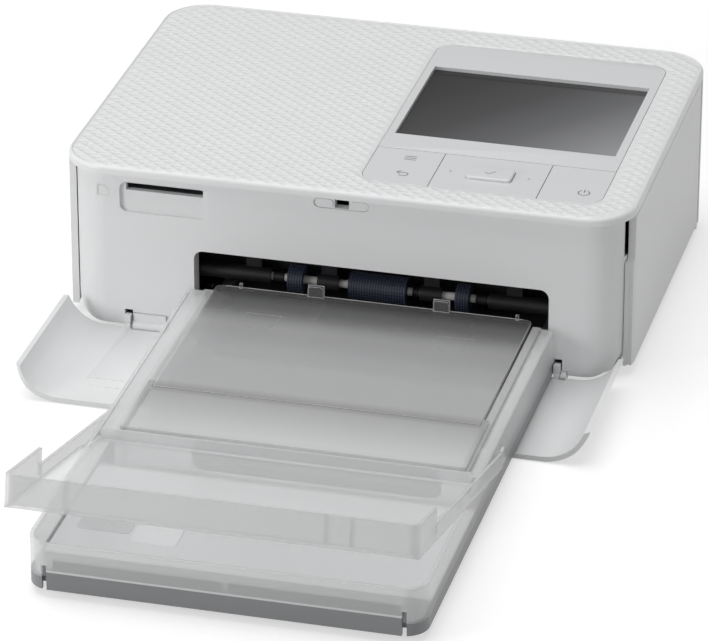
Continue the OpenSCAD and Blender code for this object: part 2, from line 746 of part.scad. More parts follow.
module front_cover() {
  top = rim_z - moving;
  low = cover_hinge_z + 0.6;
  color(white) placed() opened() {
    difference() {
      union() {
        intersection() {
          slab(low, top) band(0, cover_t, -cut, cover_wrap);
          face_plate(-cut, cover_wrap + cut)
            rounded(-half_w, half_w, low - 20, top, 6);
        }
        // two low ribs that stiffen the free edge
        for (z = [38.5, 43.5]) face_plate(cover_t - 0.1, cover_t + 0.25)
          rounded(-72 + (z - 38.5) * 0.6, -60, z, z + 0.8, 0.39);
        // hinge ears, each with a finger that stops the cover when it is flat
        for (s = [-1, 1]) {
          x0 = s > 0 ? ear_in : -ear_out;
          rod(x0, x0 + ear_out - ear_in, cover_axis, lug_r);
          block(x0, x0 + ear_out - ear_in, cover_hinge_y - lug_r, cover_hinge_y + 4,
                cover_hinge_z - lug_r + 0.4, cover_hinge_z + lug_r - 0.4);
          block(x0, x0 + ear_out - ear_in, 0.2, cover_t, cover_hinge_z, low + 3);
        }
        // hook that enters the catch
        block(-1.4, 1.6, cover_t - 0.1, fascia_set + 1.2, top - 4.6, top - 3);
      }
      for (s = [-1, 1]) {
        x0 = s > 0 ? ear_in : -ear_out;
        rod(x0 - cut, x0 + ear_out - ear_in + cut, cover_axis, cover_pin_r + run);
      }
      block(-block_out - moving, -block_in + moving, -cut, cover_t + cut, 0, cover_hinge_z + lug_r + 0.5);
      block(ear_out + 0.01, lug_out + moving, -cut, cover_t + cut, 0, cover_hinge_z + lug_r + 0.5);
    }
  }
}

module cover_pins() {
  color(steel) placed() {
    rod(-ear_out, -block_in - 2, cover_axis, cover_pin_r);
    rod(ear_in, lug_out, cover_axis, cover_pin_r);
  }
}

// ---------- ink door ----------

door_front = side_y;
door_low = skirt_z + moving;
door_top = rim_z - moving;

module ink_door() {
  color(white) placed() difference() {
    union() {
      slab(door_low, door_top) {
        intersection() {
          band(0, wall, door_front, door_axis_y);
          translate([0, 0]) square([half_w + cut, body_d]);
        }
        translate([door_axis_x, door_axis_y]) circle(door_knuckle_r);
        translate([door_axis_x - door_knuckle_r, door_axis_y - 8])
          square([2 * door_knuckle_r, 8]);
      }
      // stiffening ribs on the inner face
      for (z = [door_low + 6, door_low + 24, door_top - 8])
        block(half_w - wall - 1.2, half_w - wall + 0.1, 22, door_axis_y - 12, z, z + 1.4);
      // latch tongue
      block(half_w - wall - 4.5, half_w - wall + 0.1, 17, 19, 28, 33);
    }
    // finger scoop at the front upper corner
    scoop_cut();
    // rebate along the front edge
    block(half_w - wall + 0.35, half_w - 0.45, door_front - cut, door_front + rebate, door_low - cut, door_top + cut);
    // hinge pin bores
    translate([door_axis_x, door_axis_y, door_low - cut]) cylinder(r = door_pin_r + run, h = 8);
    translate([door_axis_x, door_axis_y, door_top - 6]) cylinder(r = door_pin_r + run, h = 7);
  }
}

module scoop_cut() {
  side_plate(half_w - wall - cut, half_w + cut) {
    translate([0, door_top - scoop_h]) square([door_front + scoop_d, scoop_h + cut]);
    translate([door_front, door_top - scoop_h]) circle(scoop_d);
  }
}

module ink_door_pins() {
  color(steel) placed() translate([door_axis_x, door_axis_y, 0]) {
    translate([0, 0, base_z]) cylinder(r = door_pin_r, h = skirt_lift + 6);
    translate([0, 0, rim_z - 5]) cylinder(r = door_pin_r, h = 6.5);
  }
}

// ---------- inside the body ----------

module card_socket() {
  y0 = fascia_set + wall + 0.8;
  color(steel) placed() difference() {
    block(card_x + 0.4, card_x + 29.4, y0, y0 + 27, slit_z - 1.4, slit_z + card_slit + 1);
    block(card_x + 1.9, card_x + 1.9 + card_slit_w, y0 - cut, y0 + 25, slit_z, slit_z + card_slit);
  }
}

// Outline of a side frame, seen from the side
module frame_outline() {
  polygon([
    [frame_front, floor_z], [frame_back, floor_z], [frame_back, frame_top - 6],
    [frame_back - 6, frame_top], [head_pivot[0] - 7, frame_top], [head_pivot[0] - 15, frame_top - 3],
    [capstan_c[0], frame_top - 3], [capstan_c[0] - 6, frame_top - 10], [frame_front, frame_top - 10]
  ]);
}

// Bearing holes that both side frames share
module frame_bores(grow) {
  translate(pick_c) circle(shaft_r + grow);
  translate(capstan_c) circle(2 + grow);
  translate(pinch_c) circle(1.5 + grow);
  translate(platen_c) circle(2.5 + grow);
  translate(head_pivot) circle(1.5 + grow);
}

// Opening through which the cartridge slides in
module cartridge_window(grow) {
  x0 = supply_c[0] - roll_shell - grow;
  x1 = takeup_c[0] + roll_shell + grow;
  rounded(x0, x1, path_z + 1.6 - grow, supply_c[1] + roll_shell + grow, 2);
}

module frame_foot(x0, x1) {
  difference() {
    block(x0, x1, frame_front + 8, frame_back - 4, floor_z, floor_z + frame_t);
    for (y = screw_y) translate([(x0 + x1) / 2, y, floor_z - cut]) cylinder(r = 1.3, h = 5);
  }
}

screw_y = [26, frame_back - 9];

module left_frame() {
  x1 = frame_left;
  x0 = x1 - frame_t;
  color(steel) placed() {
    difference() {
      side_plate(x0, x1) difference() {
        frame_outline();
        frame_bores(run);
        for (c = [supply_c, takeup_c]) translate(c) circle(3 + run);
        translate([frame_front + 4, floor_z + 6]) square([18, 4]);
      }
    }
    frame_foot(x1 - 0.01, x1 + frame_foot_w);
    // studs for the idler gears and the motor's mounting posts
    for (c = [drive_c, path_c, feed_a_c, feed_b_c]) rod(x0 - 0.6 - gear_t - 0.8, x0 + 0.01, c, 1.2);
    for (s = [-1, 1]) rod(gear_x - 2.4, x0 + 0.01, motor_c + [8, s * 8], 1.5);
  }
}

module right_frame() {
  x0 = frame_right;
  x1 = x0 + frame_t;
  color(steel) placed() {
    side_plate(x0, x1) difference() {
      frame_outline();
      frame_bores(run);
      cartridge_window(moving);
    }
    frame_foot(x0 - frame_foot_w, x0 + 0.01);
  }
}

module frame_tie() {
  color(steel) placed() {
    block(frame_left, frame_right, frame_back - 6, frame_back - 4.8, path_z + 5, frame_top - 8);
    block(frame_left, frame_right, frame_back - 6, frame_back - 4.8, floor_z + frame_t + 2, path_z - 5);
  }
}

module frame_screws() {
  screw_x = [frame_left + frame_foot_w / 2, frame_right - frame_foot_w / 2];
  color(steel) placed() for (x = screw_x, y = screw_y) {
    translate([x, y, floor_z]) cylinder(r = 1.3, h = frame_t);
    translate([x, y, floor_z + frame_t]) difference() {
      cylinder(r = 2.4, h = 1.6);
      translate([-2, -0.35, 0.9]) cube([4, 0.7, 1]);
      translate([-0.35, -2, 0.9]) cube([0.7, 4, 1]);
    }
  }
}

board_x = -half_w + 9;
board_y = 30;
board_l = motor_c[0] - motor_r - 3 - board_y;
board_h = 34;

module main_board() {
  color("#2f6b45") placed() difference() {
    side_plate(board_x, board_x + 1.4) translate([board_y, floor_z]) square([board_l, board_h]);
    for (y = [4, board_l - 4], z = [6, board_h - 4])
      rod(board_x - cut, board_x + 3, [board_y + y, floor_z + z], 1.4);
  }
  color(black) placed() {
    side_plate(board_x + 1.4, board_x + 2.8) {
      translate([board_y + 14, floor_z + 16]) square([12, 12]);
      translate([board_y + 36, floor_z + 14]) square([9, 14]);
    }
    side_plate(board_x + 1.4, board_x + 6) translate([board_y + 8, floor_z + 6]) square([8, 4]);
  }
}

module power_jack() {
  color(black) placed() difference() {
    union() {
      block(jack_x - 5, jack_x + 5, body_d - wall - 12, body_d - wall, floor_z, port_z + 5);
      translate([jack_x, body_d - 0.6, port_z]) rotate([90, 0, 0]) cylinder(r = jack_r - 0.1, h = wall);
    }
    translate([jack_x, body_d + cut, port_z]) rotate([90, 0, 0]) difference() {
      cylinder(r = jack_r - 1.1, h = 11);
      cylinder(r = 0.9, h = 11);
    }
  }
}

module usb_port() {
  color(steel) placed() difference() {
    union() {
      block(usb_x - 4.4, usb_x + 4.4, body_d - wall - 9, body_d - wall, floor_z, port_z + 2.4);
      face_plate(body_d - wall, body_d - 0.5)
        rounded(usb_x - 4.5, usb_x + 4.5, port_z - 1.6, port_z + 1.6, 1.5);
    }
    face_plate(body_d - 8, body_d + cut)
      rounded(usb_x - 4.1, usb_x + 4.1, port_z - 1.2, port_z + 1.2, 1.1);
  }
}

// ---------- feed and print drive ----------

// Bearing tubes round the feed shaft, from x to x, and the arms that carry them
tube_x = [[frame_left, cass_x - 34], [cass_x - 19, cass_x - 12], [cass_x + 14, cass_x + 21],
          [cass_x + 36, frame_right]];
arm_x = [cass_x - 40, cass_x - 15.5, cass_x + 17.5, cass_x + 44];

module feed_frame() {
  c = pick_c;
  guide_top = path_z - 1;
  color(black) placed() difference() {
    union() {
      // beam behind the pick rollers: picked sheets rise under it, prints pass back over it
      side_plate(frame_left, frame_right) polygon([
        [c[0] + 5.4, c[1] - 0.4], [c[0] + 8, c[1] - 0.4], [capstan_c[0] - 5, guide_top - 0.5],
        [capstan_c[0] - 5, guide_top], [c[0] + 5.4, guide_top]
      ]);
      for (x = arm_x) block(x - 2.5, x + 2.5, c[0], c[0] + 6, c[1] - 2.4, guide_top);
      for (x = tube_x) rod(x[0], x[1], c, 2.5);
    }
    for (x = tube_x) rod(x[0] - cut, x[1] + cut, c, shaft_r + run);
  }
}

module feed_shaft() {
  color("#c9ccd0") placed() rod(gear_x - 0.6, frame_right + frame_t + 1, pick_c, shaft_r);
}

// Ribbed rubber roller on the feed shaft
module pick_roller(x0, x1, n) {
  color(navy) placed() side_plate(x0, x1) difference() {
    translate(pick_c) circle(pick_r);
    translate(pick_c) circle(shaft_r);
    for (k = [0 : n - 1]) translate(pick_c) rotate(360 * k / n) translate([pick_r, 0])
      square([0.7, pick_r * 0.1], center = true);
  }
}

module pick_roller_left() {
  pick_roller(cass_x - 28.3, cass_x - 23.6, 24);
}

module pick_roller_centre() {
  pick_roller(cass_x - 8.6, cass_x + 10, 24);
}

module pick_roller_right() {
  pick_roller(cass_x + 25.7, cass_x + 30.2, 24);
}

module feed_gear() {
  color(white) placed() gear(feed_n, pick_c, feed_phase, shaft_r);
}

module feed_idler_a() {
  color(white) placed() gear(feed_idle_n, feed_a_c, feed_a_phase, 1.2 + run);
}

module feed_idler_b() {
  color(white) placed() gear(feed_idle_n, feed_b_c, feed_b_phase, 1.2 + run);
}

module capstan_roller() {
  color(steel) placed() {
    rod(frame_left + 1, frame_right - 1, capstan_c, capstan_r);
    rod(gear_x - 0.6, frame_right + frame_t + 1, capstan_c, 2);
  }
}

module capstan_gear() {
  color(white) placed() gear(capstan_n, capstan_c, capstan_phase, 2);
}

module path_idler() {
  color(white) placed() gear(path_n, path_c, path_phase, 1.2 + run);
}

module platen_roller() {
  color(black) placed() rod(frame_left + 2, frame_right - 2, platen_c, platen_r);
  color(steel) placed() {
    rod(gear_x - 0.6, frame_left + 2.01, platen_c, 2.5);
    rod(frame_right - 2.01, frame_right + frame_t + 1, platen_c, 2.5);
  }
}

module platen_gear() {
  color(white) placed() gear(platen_n, platen_c, platen_phase, 2.5);
}

module drive_idler() {
  color(white) placed() gear(drive_n, drive_c, drive_phase, 1.2 + run);
}

motor_x = gear_x - 2.4;

module drive_motor() {
  color(steel) placed() difference() {
    union() {
      rod(motor_x - motor_l, motor_x, motor_c, motor_r);
      block(motor_x - motor_l + 2, motor_x - 4, motor_c[0] - 7, motor_c[0] + 7, floor_z, motor_c[1]);
      rod(motor_x - motor_l - 2, motor_x - motor_l + 1, motor_c, 3);
      side_plate(motor_x - 1.2, motor_x) translate(motor_c + [-2, -10]) square([14, 20]);
    }
    rod(motor_x - 6, motor_x + cut, motor_c, 2.4);
  }
}

module motor_pinion() {
  color("#c8a24a") placed() {
    side_plate(gear_x, gear_x + gear_t) translate(motor_c) gear_outline(motor_n, motor_phase);
    rod(motor_x - 5.6, gear_x + 0.01, motor_c, 2.3);
  }
}

module pinch_roller() {
  color(black) placed() rod(frame_left + 3, frame_right - 3, pinch_c, pinch_r);
  color(steel) placed() {
    rod(frame_left - frame_t - 0.3, frame_left + 3.01, pinch_c, 1.5);
    rod(frame_right - 3.01, frame_right + frame_t + 1, pinch_c, 1.5);
  }
}

// Print head between the two ribbon rolls, carried by an arm that pivots at the back
head_gap = 0.9;
head_y = platen_c[0];
head_x0 = cass_x - 54;
head_x1 = cass_x + 54;

module thermal_head() {
  z0 = path_z + head_gap;
  color("#a9adb2") placed() {
    block(head_x0, head_x1, head_y - 3, head_y + 3, z0 + 1, arm_low);
    for (k = [0 : 3]) block(head_x0, head_x1, head_y - 4, head_y - 2.99, z0 + 5 + 3 * k, z0 + 6.4 + 3 * k);
    for (k = [0 : 3]) block(head_x0, head_x1, head_y + 2.99, head_y + 4, z0 + 5 + 3 * k, z0 + 6.4 + 3 * k);
  }
  color("#5a4a3a") placed() rod(head_x0, head_x1, [head_y, z0 + 1], 0.99);
}

module head_arm() {
  x0 = frame_left + 1;
  x1 = frame_right - 1;
  color(steel) placed() {
    difference() {
      block(x0, x1, head_y - 4, head_pivot[0] - 6, arm_low, arm_low + 1.2);
      for (k = [0 : 3]) slab(arm_low - cut, arm_low + 3)
        rounded(x0 + 8 + 27 * k, x0 + 30 + 27 * k, head_y + 8, head_pivot[0] - 12, 2);
    }
    for (x = [x0, x1 - 1.2]) side_plate(x, x + 1.2) difference() {
      union() {
        translate(head_pivot) circle(4);
        polygon([[head_y - 4, arm_low], [head_pivot[0] - 5, arm_low], head_pivot + [-4, 0],
                 head_pivot + [0, 4], [head_pivot[0] - 6, arm_low + 1.2], [head_y - 4, arm_low + 1.2]]);
      }
      translate(head_pivot) circle(1.5);
    }
    rod(frame_left - frame_t, frame_right + frame_t, head_pivot, 1.5);
  }
}

// ---------- ink cartridge ----------

cart_x0 = frame_left + 3;
cart_x1 = frame_right + 8;
cart_in1 = frame_right - 4;

module cart_end(x0, x1) {
  side_plate(x0, x1) difference() {
    union() {
      for (c = [supply_c, takeup_c]) translate(c) circle(roll_shell - 0.2);
      translate([supply_c[0], path_z + 2]) square([takeup_c[0] - supply_c[0], 4.4]);
    }
    for (c = [supply_c, takeup_c]) translate(c) circle(3 + run);
    translate([head_y - 5, path_z - 2]) square([10, 30]);
  }
}

module ink_cartridge() {
  color("#8d9297") placed() {
    difference() {
      for (c = [supply_c, takeup_c]) side_plate(cart_x0, cart_in1) difference() {
        translate(c) circle(roll_shell - 0.2);
        translate(c) circle(roll_shell - 1.5);
        translate(c + [-4.6, -roll_shell - 1]) square([9.2, roll_shell]);
      }
    }
    cart_end(cart_x0 - 1.6, cart_x0 + 0.01);
    difference() {
      union() {
        cart_end(cart_in1 - 0.01, cart_in1 + 1.6);
        // grip that joins the two rolls outside the frame
        side_plate(cart_in1 + 1.59, cart_x1) difference() {
          union() {
            translate([supply_c[0], supply_c[1] - 5]) square([takeup_c[0] - supply_c[0], 5]);
            for (c = [supply_c, takeup_c]) translate(c) circle(roll_shell - 1.8);
          }
          for (c = [supply_c, takeup_c]) translate(c) circle(roll_shell - 4);
          translate([head_y - 5, path_z - 2]) square([10, 3]);
        }
      }
    }
  }
}

module spool(c) {
  rod(cart_x0 - 1.6 - 0.4, cart_in1 + 1.6, c, 3);
  rod(cart_x0 + 4, cart_in1 - 4, c, roll_r);
  for (x = [cart_x0 + 2.4, cart_in1 - 4]) rod(x, x + 1.6, c, roll_shell - 2);
}

module supply_spool() {
  color("#d8d2c4") placed() {
    spool(supply_c);
    rod(frame_left - frame_t - 0.2, cart_x0 - 1.9, supply_c, 3);
  }
}

module takeup_spool() {
  color("#4b4f55") placed() {
    spool(takeup_c);
    rod(gear_x - 0.6, cart_x0 - 1.9, takeup_c, 3);
  }
}

module takeup_gear() {
  color(white) placed() gear(takeup_n, takeup_c, takeup_phase, 3);
}

// Ribbon between the rolls, one thin strip that dips under the print head
module ribbon_film() {
  t = 0.12;
  low = path_z + 0.35;
  out = supply_c[1] - roll_r - 0.35;
  x0 = cart_x0 + 5;
  color("#6d4f86") placed() side_plate(x0, x0 + 104) polygon([
    [supply_c[0] + 1.5, out], [head_y - 4.6, low], [head_y + 4.6, low], [takeup_c[0] - 1.5, out],
    [takeup_c[0] - 1.5, out + t], [head_y + 4.6, low + t], [head_y - 4.6, low + t],
    [supply_c[0] + 1.5, out + t]
  ]);
}

// ---------- paper cassette ----------

// Plan of the cassette: wide in front of the printer, narrow inside it
module tray_plan(inset) {
  w = tray_half - inset;
  n = tray_in_half - inset;
  translate([cass_x, 0]) {
    rounded(-w, w, -tray_out + inset, -tray_out + 3 * tray_r, tray_r - inset);
    translate([-w, -tray_out + tray_r]) square([2 * w, tray_out - tray_r + shoulder_y - inset]);
    translate([tray_in_shift - n, -cut]) square([2 * n, tray_in + cut - inset]);
  }
}

module wide_only() {
  translate([cass_x - tray_half - cut, -tray_out - cut])
    square([tray_w + 2 * cut, tray_out + shoulder_y + cut]);
}

slot_gap = 1.4;

module corner_slots(z0, z1) {
  for (s = [-1, 1]) {
    x = cass_x + s * (bar_half + slot_gap / 2);
    block(x - slot_gap / 2, x + slot_gap / 2, -tray_out - cut, -tray_out + tray_t + 0.6, z0, z1);
  }
}

module cassette_pan() {
  color(pan_grey) placed() {
    difference() {
      union() {
        slab(pan_floor_z, tray_floor_z) intersection() {
          tray_plan(tray_t - 0.01);
          translate([-half_w, -tray_out]) square([body_w, tray_out + tray_in - 2]);
        }
        slab(tray_z, pan_top) intersection() {
          difference() {
            tray_plan(0);
            tray_plan(tray_t);
          }
          wide_only();
        }
        block(cass_x - bar_half, cass_x + bar_half, -tray_out, -tray_out + tray_t, tray_z, bar_top);
        block(cass_x - bar_half + 1, cass_x + bar_half - 1, -tray_out + 5.6, -tray_out + 6.8,
              tray_floor_z - 0.1, bar_top);
      }
      corner_slots(tray_z - cut, bar_top + cut);
    }
  }
}

module tray_ear(s) {
  x0 = s > 0 ? cass_x + tray_half - tray_t : cass_x - tray_half;
  side_plate(x0, x0 + tray_t) translate([-stack_out, stack_z]) circle(stack_pin_r + 1.1);
}

window_x0 = cass_x - 29.2;
window_x1 = cass_x + 46.8;

// Side rail of the cassette between two x values, as high as the lid and low inside the printer
module tray_rail(x0, x1) {
  side_plate(x0, x1) {
    polygon([
      [-bridge_out, tray_floor_z], [tray_in, tray_floor_z], [tray_in, rail_in_z],
      [16, rail_in_z], [shoulder_y + 0.6, rail_z - 1.6], [shoulder_y, rail_z - 0.5],
      [shoulder_y - 1, rail_z], [-bridge_out, rail_z]
    ]);
  }
}

rail_in_z = 11;

module cassette_tray() {
  color(frosted) placed() difference() {
    union() {
      // outer wall on the pan's band
      slab(pan_top, tray_rim_z) intersection() {
        difference() {
          tray_plan(0);
          tray_plan(tray_t);
        }
        wide_only();
      }
      // floor and inner rails
      slab(tray_floor_z, tray_floor_z + 1) intersection() {
        tray_plan(tray_t + 0.1);
        translate([-half_w, -tray_out + 8]) square([body_w, tray_out + tray_in - 8]);
      }
      tray_rail(in_x0, rail_x0);
      tray_rail(rail_x1, in_x1);
      // shelves between the rails and the outer wall
      block(cass_x - tray_half + 0.5, in_x0 + 0.01, -bridge_out, shoulder_y, shelf_z - tray_t, shelf_z);
      block(in_x1 - 0.01, cass_x + tray_half - 0.5, -bridge_out, shoulder_y, shelf_z - tray_t, shelf_z);
      for (s = [-1, 1]) tray_ear(s);
      // rear wall, low enough for the sheets to pass
      block(in_x0, in_x1, tray_in - tray_t, tray_in, tray_floor_z, rail_in_z);
      // fixed bridge with its apron
      block(rail_x0 - 0.01, rail_x1 + 0.01, -bridge_out, -lid_hinge_out - 2, lid_z - tray_t, lid_z);
      block(rail_x0 - 1.8, rail_x0, -bridge_out, -lid_hinge_out + 2, rail_z - 0.1, lid_z);
      block(rail_x1, rail_x1 + 1.8, -bridge_out, -lid_hinge_out + 2, rail_z - 0.1, lid_z);
      block(rail_x0 - 0.01, rail_x1 + 0.01, -bridge_out, -bridge_out + tray_t, tray_floor_z, lid_z);
    }
    // the bar and the corner slots
    block(cass_x - bar_half - 0.1, cass_x + bar_half + 0.1, -tray_out - cut, -tray_out + tray_t + 0.4,
          0, bar_top);
    corner_slots(0, bar_top + 1.4);
    // window in the apron
    face_plate(-bridge_out - cut, -bridge_out + tray_t + cut)
      rounded(window_x0, window_x1, tray_floor_z + 2, lid_z - tray_t - 0.4, 3.5);
    // bores for the lid's pins and the stacker's studs
    rod(rail_x0 - 1.6, rail_x1 + 1.6, [-lid_hinge_out, lid_axis_z], lid_pin_r + run);
    rod(cass_x - tray_half - cut, cass_x + tray_half + cut, [-stack_out, stack_z], stack_pin_r + run);
    rod(rail_x0 - 1.6, rail_x1 + 1.6, lift_axis, 1 + run);
  }
}

shelf_z = tray_rim_z - 0.3;
lift_axis = [-20, 10];

module paper_lift() {
  tilt = 7;
  x0 = rail_x0 + 4;
  x1 = rail_x1 - 4;
  color(black) placed() {
    translate([0, lift_axis[0], lift_axis[1]]) rotate([tilt, 0, 0]) {
      difference() {
        translate([x0, 0, -0.5]) cube([x1 - x0, 40, 1]);
        for (s = [-1, 1]) translate([cass_x + s * 24 - 8, 8, -cut]) cube([16, 22, 3]);
      }
    }
    rod(rail_x0 - 1.3, rail_x1 + 1.3, lift_axis, 1);
  }
}

tab_x = [cass_x - 16.9, cass_x + 23.3];
lid_rear = 1.4;
lid_corner = 2;

module inner_lid() {
  y0 = -lid_hinge_out - 1.4;
  color(frosted) placed() {
    slab(lid_z - tray_t, lid_z) {
      translate([lid_x0, y0]) square([lid_w, lid_rear - lid_corner - y0]);
      translate([lid_x0 + lid_corner, y0]) square([lid_w - 2 * lid_corner, lid_rear - y0]);
      for (x = [lid_x0 + lid_corner, lid_x1 - lid_corner])
        translate([x, lid_rear - lid_corner]) circle(lid_corner);
    }
    for (x = tab_x) face_plate(lid_rear - 1.2, lid_rear)
      rounded(x - 2.5, x + 2.5, lid_z - tray_t, lid_z + 3.6, 1);
    // two short stops beside the corners
    for (x = [lid_x0 + 8, lid_x1 - 4.7]) block(x - 0.5, x + 0.5, lid_rear - 0.8, lid_rear, lid_z - 0.1, lid_z + 1.6);
    // side flanges, a hinge boss and its two pins
    for (x = [lid_x0, lid_x1 - 1]) block(x, x + 1, -lid_hinge_out + 1, lid_rear - 4, lid_z - 3, lid_z - 0.5);
    block(lid_x0, lid_x1, -lid_hinge_out - 1.4, -lid_hinge_out + 1.4, lid_axis_z - 1.1, lid_z - 0.1);
    rod(lid_x0 - 1.5, lid_x1 + 1.5, [-lid_hinge_out, lid_axis_z], lid_pin_r);
    for (k = [-2 : 2]) block(cass_x + 18 * k - 0.5, cass_x + 18 * k + 0.5, -lid_hinge_out + 4, -6,
                             lid_z - tray_t - 0.8, lid_z - tray_t + 0.01);
  }
}

// Lengths of the raised front corners of the stacker, left and right
corner_left = 34;
corner_right = 22;

// The stacker is drawn level round its own hinge, then tilted
module print_stacker() {
  inner = stack_half - stack_wall;
  floor0 = -stack_drop;
  // the floor starts where it has risen over the tray's rim
  floor_rear = (tray_rim_z + 0.4 - stack_z + stack_drop * cos(stack_tilt)) / sin(stack_tilt);
  floor_end = norm([bridge_out - stack_out, lid_z - stack_z]) + 0.7;
  front = -stack_len + stack_wall;
  color(frosted) placed() translate([cass_x, -stack_out, stack_z]) rotate([-stack_tilt, 0, 0]) {
    intersection() {
      // the lower front edge is rounded
      side_plate(-stack_half - cut, stack_half + cut)
        rounded(-stack_len, stack_len, floor0, floor0 + 4 * stack_rim, 2);
      union() {
        difference() {
          slab(floor0, floor0 + stack_rim) difference() {
            rounded(-stack_half, stack_half, -stack_len, stack_len, stack_r);
            rounded(-inner, inner, front, stack_len, stack_r - stack_wall);
          }
          // the side walls end round the hinge
          block(-stack_half - cut, stack_half + cut, 0, stack_len + cut, floor0 - cut, stack_rim);
          // lower side walls behind the two front corners, and a gap beside each corner
          stack_step(-stack_half - cut, 0, corner_left);
          stack_step(0, stack_half + cut, corner_right);
        }
        slab(floor0, floor0 + tray_t) difference() {
          rounded(-stack_half, stack_half, -stack_len, stack_len, stack_r);
          translate([-stack_half - cut, -floor_rear]) square([2 * (stack_half + cut), 3 * stack_len]);
        }
        // between the tray's side walls the floor reaches back to the bridge
        block(tray_t + 1 - tray_half, tray_half - tray_t - 1, -floor_rear - 0.01, -floor_end,
              floor0, floor0 + tray_t);
        // ribs inside the front rim
        for (x = [-42, 33.4, 40.9]) block(x - 0.4, x + 0.4, front - 0.1, front + 0.6, floor0 + 1,
                                          floor0 + stack_rim);
      }
    }
    for (s = [-1, 1]) {
      side_plate(s > 0 ? inner : -stack_half, s > 0 ? stack_half : -inner) circle(stack_pin_r + 1.2);
      rod(s > 0 ? inner - 1.6 : -inner - 0.01, s > 0 ? inner + 0.01 : -inner + 1.6, [0, 0], stack_pin_r);
    }
  }
}

// Cutter that lowers one side wall behind its raised corner
module stack_step(x0, x1, length) {
  low = stack_side - stack_drop;
  block(x0, x1, -stack_len + length, cut, low, stack_rim);
  block(x0, x1, -stack_len + length - 0.8, -stack_len + length + 0.01, low - 3, stack_rim);
}

base_pan();
rubber_feet();
front_fascia();
top_cover();
control_panel();
lcd_module();
lcd_glass();
key_board();
menu_key();
arrow_key();
ok_key();
power_key();
left_side_panel();
rear_cover();
cover_catch();
card_socket();
left_frame();
right_frame();
frame_tie();
main_board();
power_jack();
usb_port();
frame_screws();
front_cover();
cover_pins();
ink_door();
ink_door_pins();
feed_frame();
feed_shaft();
pick_roller_left();
pick_roller_centre();
pick_roller_right();
feed_gear();
feed_idler_a();
feed_idler_b();
capstan_roller();
capstan_gear();
path_idler();
platen_roller();
platen_gear();
drive_idler();
drive_motor();
motor_pinion();
pinch_roller();
thermal_head();
head_arm();
ink_cartridge();
supply_spool();
takeup_spool();
takeup_gear();
ribbon_film();
cassette_pan();
cassette_tray();
paper_lift();
inner_lid();
print_stacker();
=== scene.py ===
import bmesh
import bpy
import json
import math
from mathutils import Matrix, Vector

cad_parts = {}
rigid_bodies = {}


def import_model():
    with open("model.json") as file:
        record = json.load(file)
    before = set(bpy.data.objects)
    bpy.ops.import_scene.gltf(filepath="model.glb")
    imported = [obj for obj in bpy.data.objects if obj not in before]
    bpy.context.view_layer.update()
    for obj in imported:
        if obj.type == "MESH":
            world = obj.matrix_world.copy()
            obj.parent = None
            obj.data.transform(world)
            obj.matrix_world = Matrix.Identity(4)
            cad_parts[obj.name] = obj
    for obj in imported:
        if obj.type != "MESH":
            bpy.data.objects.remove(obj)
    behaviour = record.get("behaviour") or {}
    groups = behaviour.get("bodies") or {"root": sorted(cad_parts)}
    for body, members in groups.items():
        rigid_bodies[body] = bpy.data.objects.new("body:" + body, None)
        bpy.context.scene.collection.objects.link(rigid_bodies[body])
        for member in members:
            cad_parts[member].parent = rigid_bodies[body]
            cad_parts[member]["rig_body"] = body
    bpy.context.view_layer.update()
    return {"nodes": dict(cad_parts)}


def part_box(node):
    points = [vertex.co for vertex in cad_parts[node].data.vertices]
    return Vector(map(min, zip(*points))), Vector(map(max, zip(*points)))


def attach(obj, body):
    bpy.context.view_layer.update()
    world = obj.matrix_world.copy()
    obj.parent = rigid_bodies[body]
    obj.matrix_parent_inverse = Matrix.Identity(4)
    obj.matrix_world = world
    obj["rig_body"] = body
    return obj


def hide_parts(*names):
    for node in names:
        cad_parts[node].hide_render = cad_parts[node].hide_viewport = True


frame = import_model()
MM = 0.001

# ---------- places taken from the frame ----------

NODES = frame["nodes"]
TOP_LOW, TOP_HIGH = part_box("top_cover")
LIP = TOP_LOW.y                       # y of the front lip
BODY_TOP = TOP_HIGH.z
HALF_W = (TOP_HIGH.x - TOP_LOW.x) / 2
PANEL_LOW, PANEL_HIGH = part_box("control_panel")
LID_LOW, LID_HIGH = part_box("inner_lid")
SHAFT_LOW, SHAFT_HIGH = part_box("feed_shaft")
UP = Vector((0, 0, 1))


def from_lip(y):
    """The row's y of a place given in mm behind the front lip."""
    return LIP + y * MM


def at(x, y, z):
    """A point given in mm from the middle of the front lip, on the table."""
    return Vector((x * MM, from_lip(y), z * MM))


# ---------- node helpers ----------

def adder(tree):
    """A function that adds a node to the tree and sets its inputs and its own settings."""
    def add(kind, **settings):
        node = tree.nodes.new(kind)
        for key, value in settings.items():
            if key in node.inputs:
                node.inputs[key].default_value = value
            else:
                setattr(node, key, value)
        return node

    return add


def nodes_of(name):
    """A new material with its node tree, its shader and a function that adds nodes."""
    mat = bpy.data.materials.new(name)
    mat.use_nodes = True
    tree = mat.node_tree
    return mat, tree, tree.nodes["Principled BSDF"], adder(tree)


def object_coords(add):
    return add("ShaderNodeTexCoord").outputs["Object"]


def split_up(tree, add, vector):
    """The X, Y and Z of a vector."""
    split = add("ShaderNodeSeparateXYZ")
    tree.links.new(vector, split.inputs["Vector"])
    return [split.outputs[axis] for axis in "XYZ"]


def ranged(tree, add, value, low, high, to_low, to_high):
    """A value mapped from one range to another and held inside it."""
    span = add("ShaderNodeMapRange")
    span.inputs["From Min"].default_value = low
    span.inputs["From Max"].default_value = high
    span.inputs["To Min"].default_value = to_low
    span.inputs["To Max"].default_value = to_high
    tree.links.new(value, span.inputs["Value"])
    return span.outputs["Result"]


def joined(tree, add, operation, one, other):
    both = add("ShaderNodeMath", operation=operation)
    tree.links.new(one, both.inputs[0])
    tree.links.new(other, both.inputs[1])
    return both.outputs[0]


def product(tree, add, one, other):
    return joined(tree, add, "MULTIPLY", one, other)


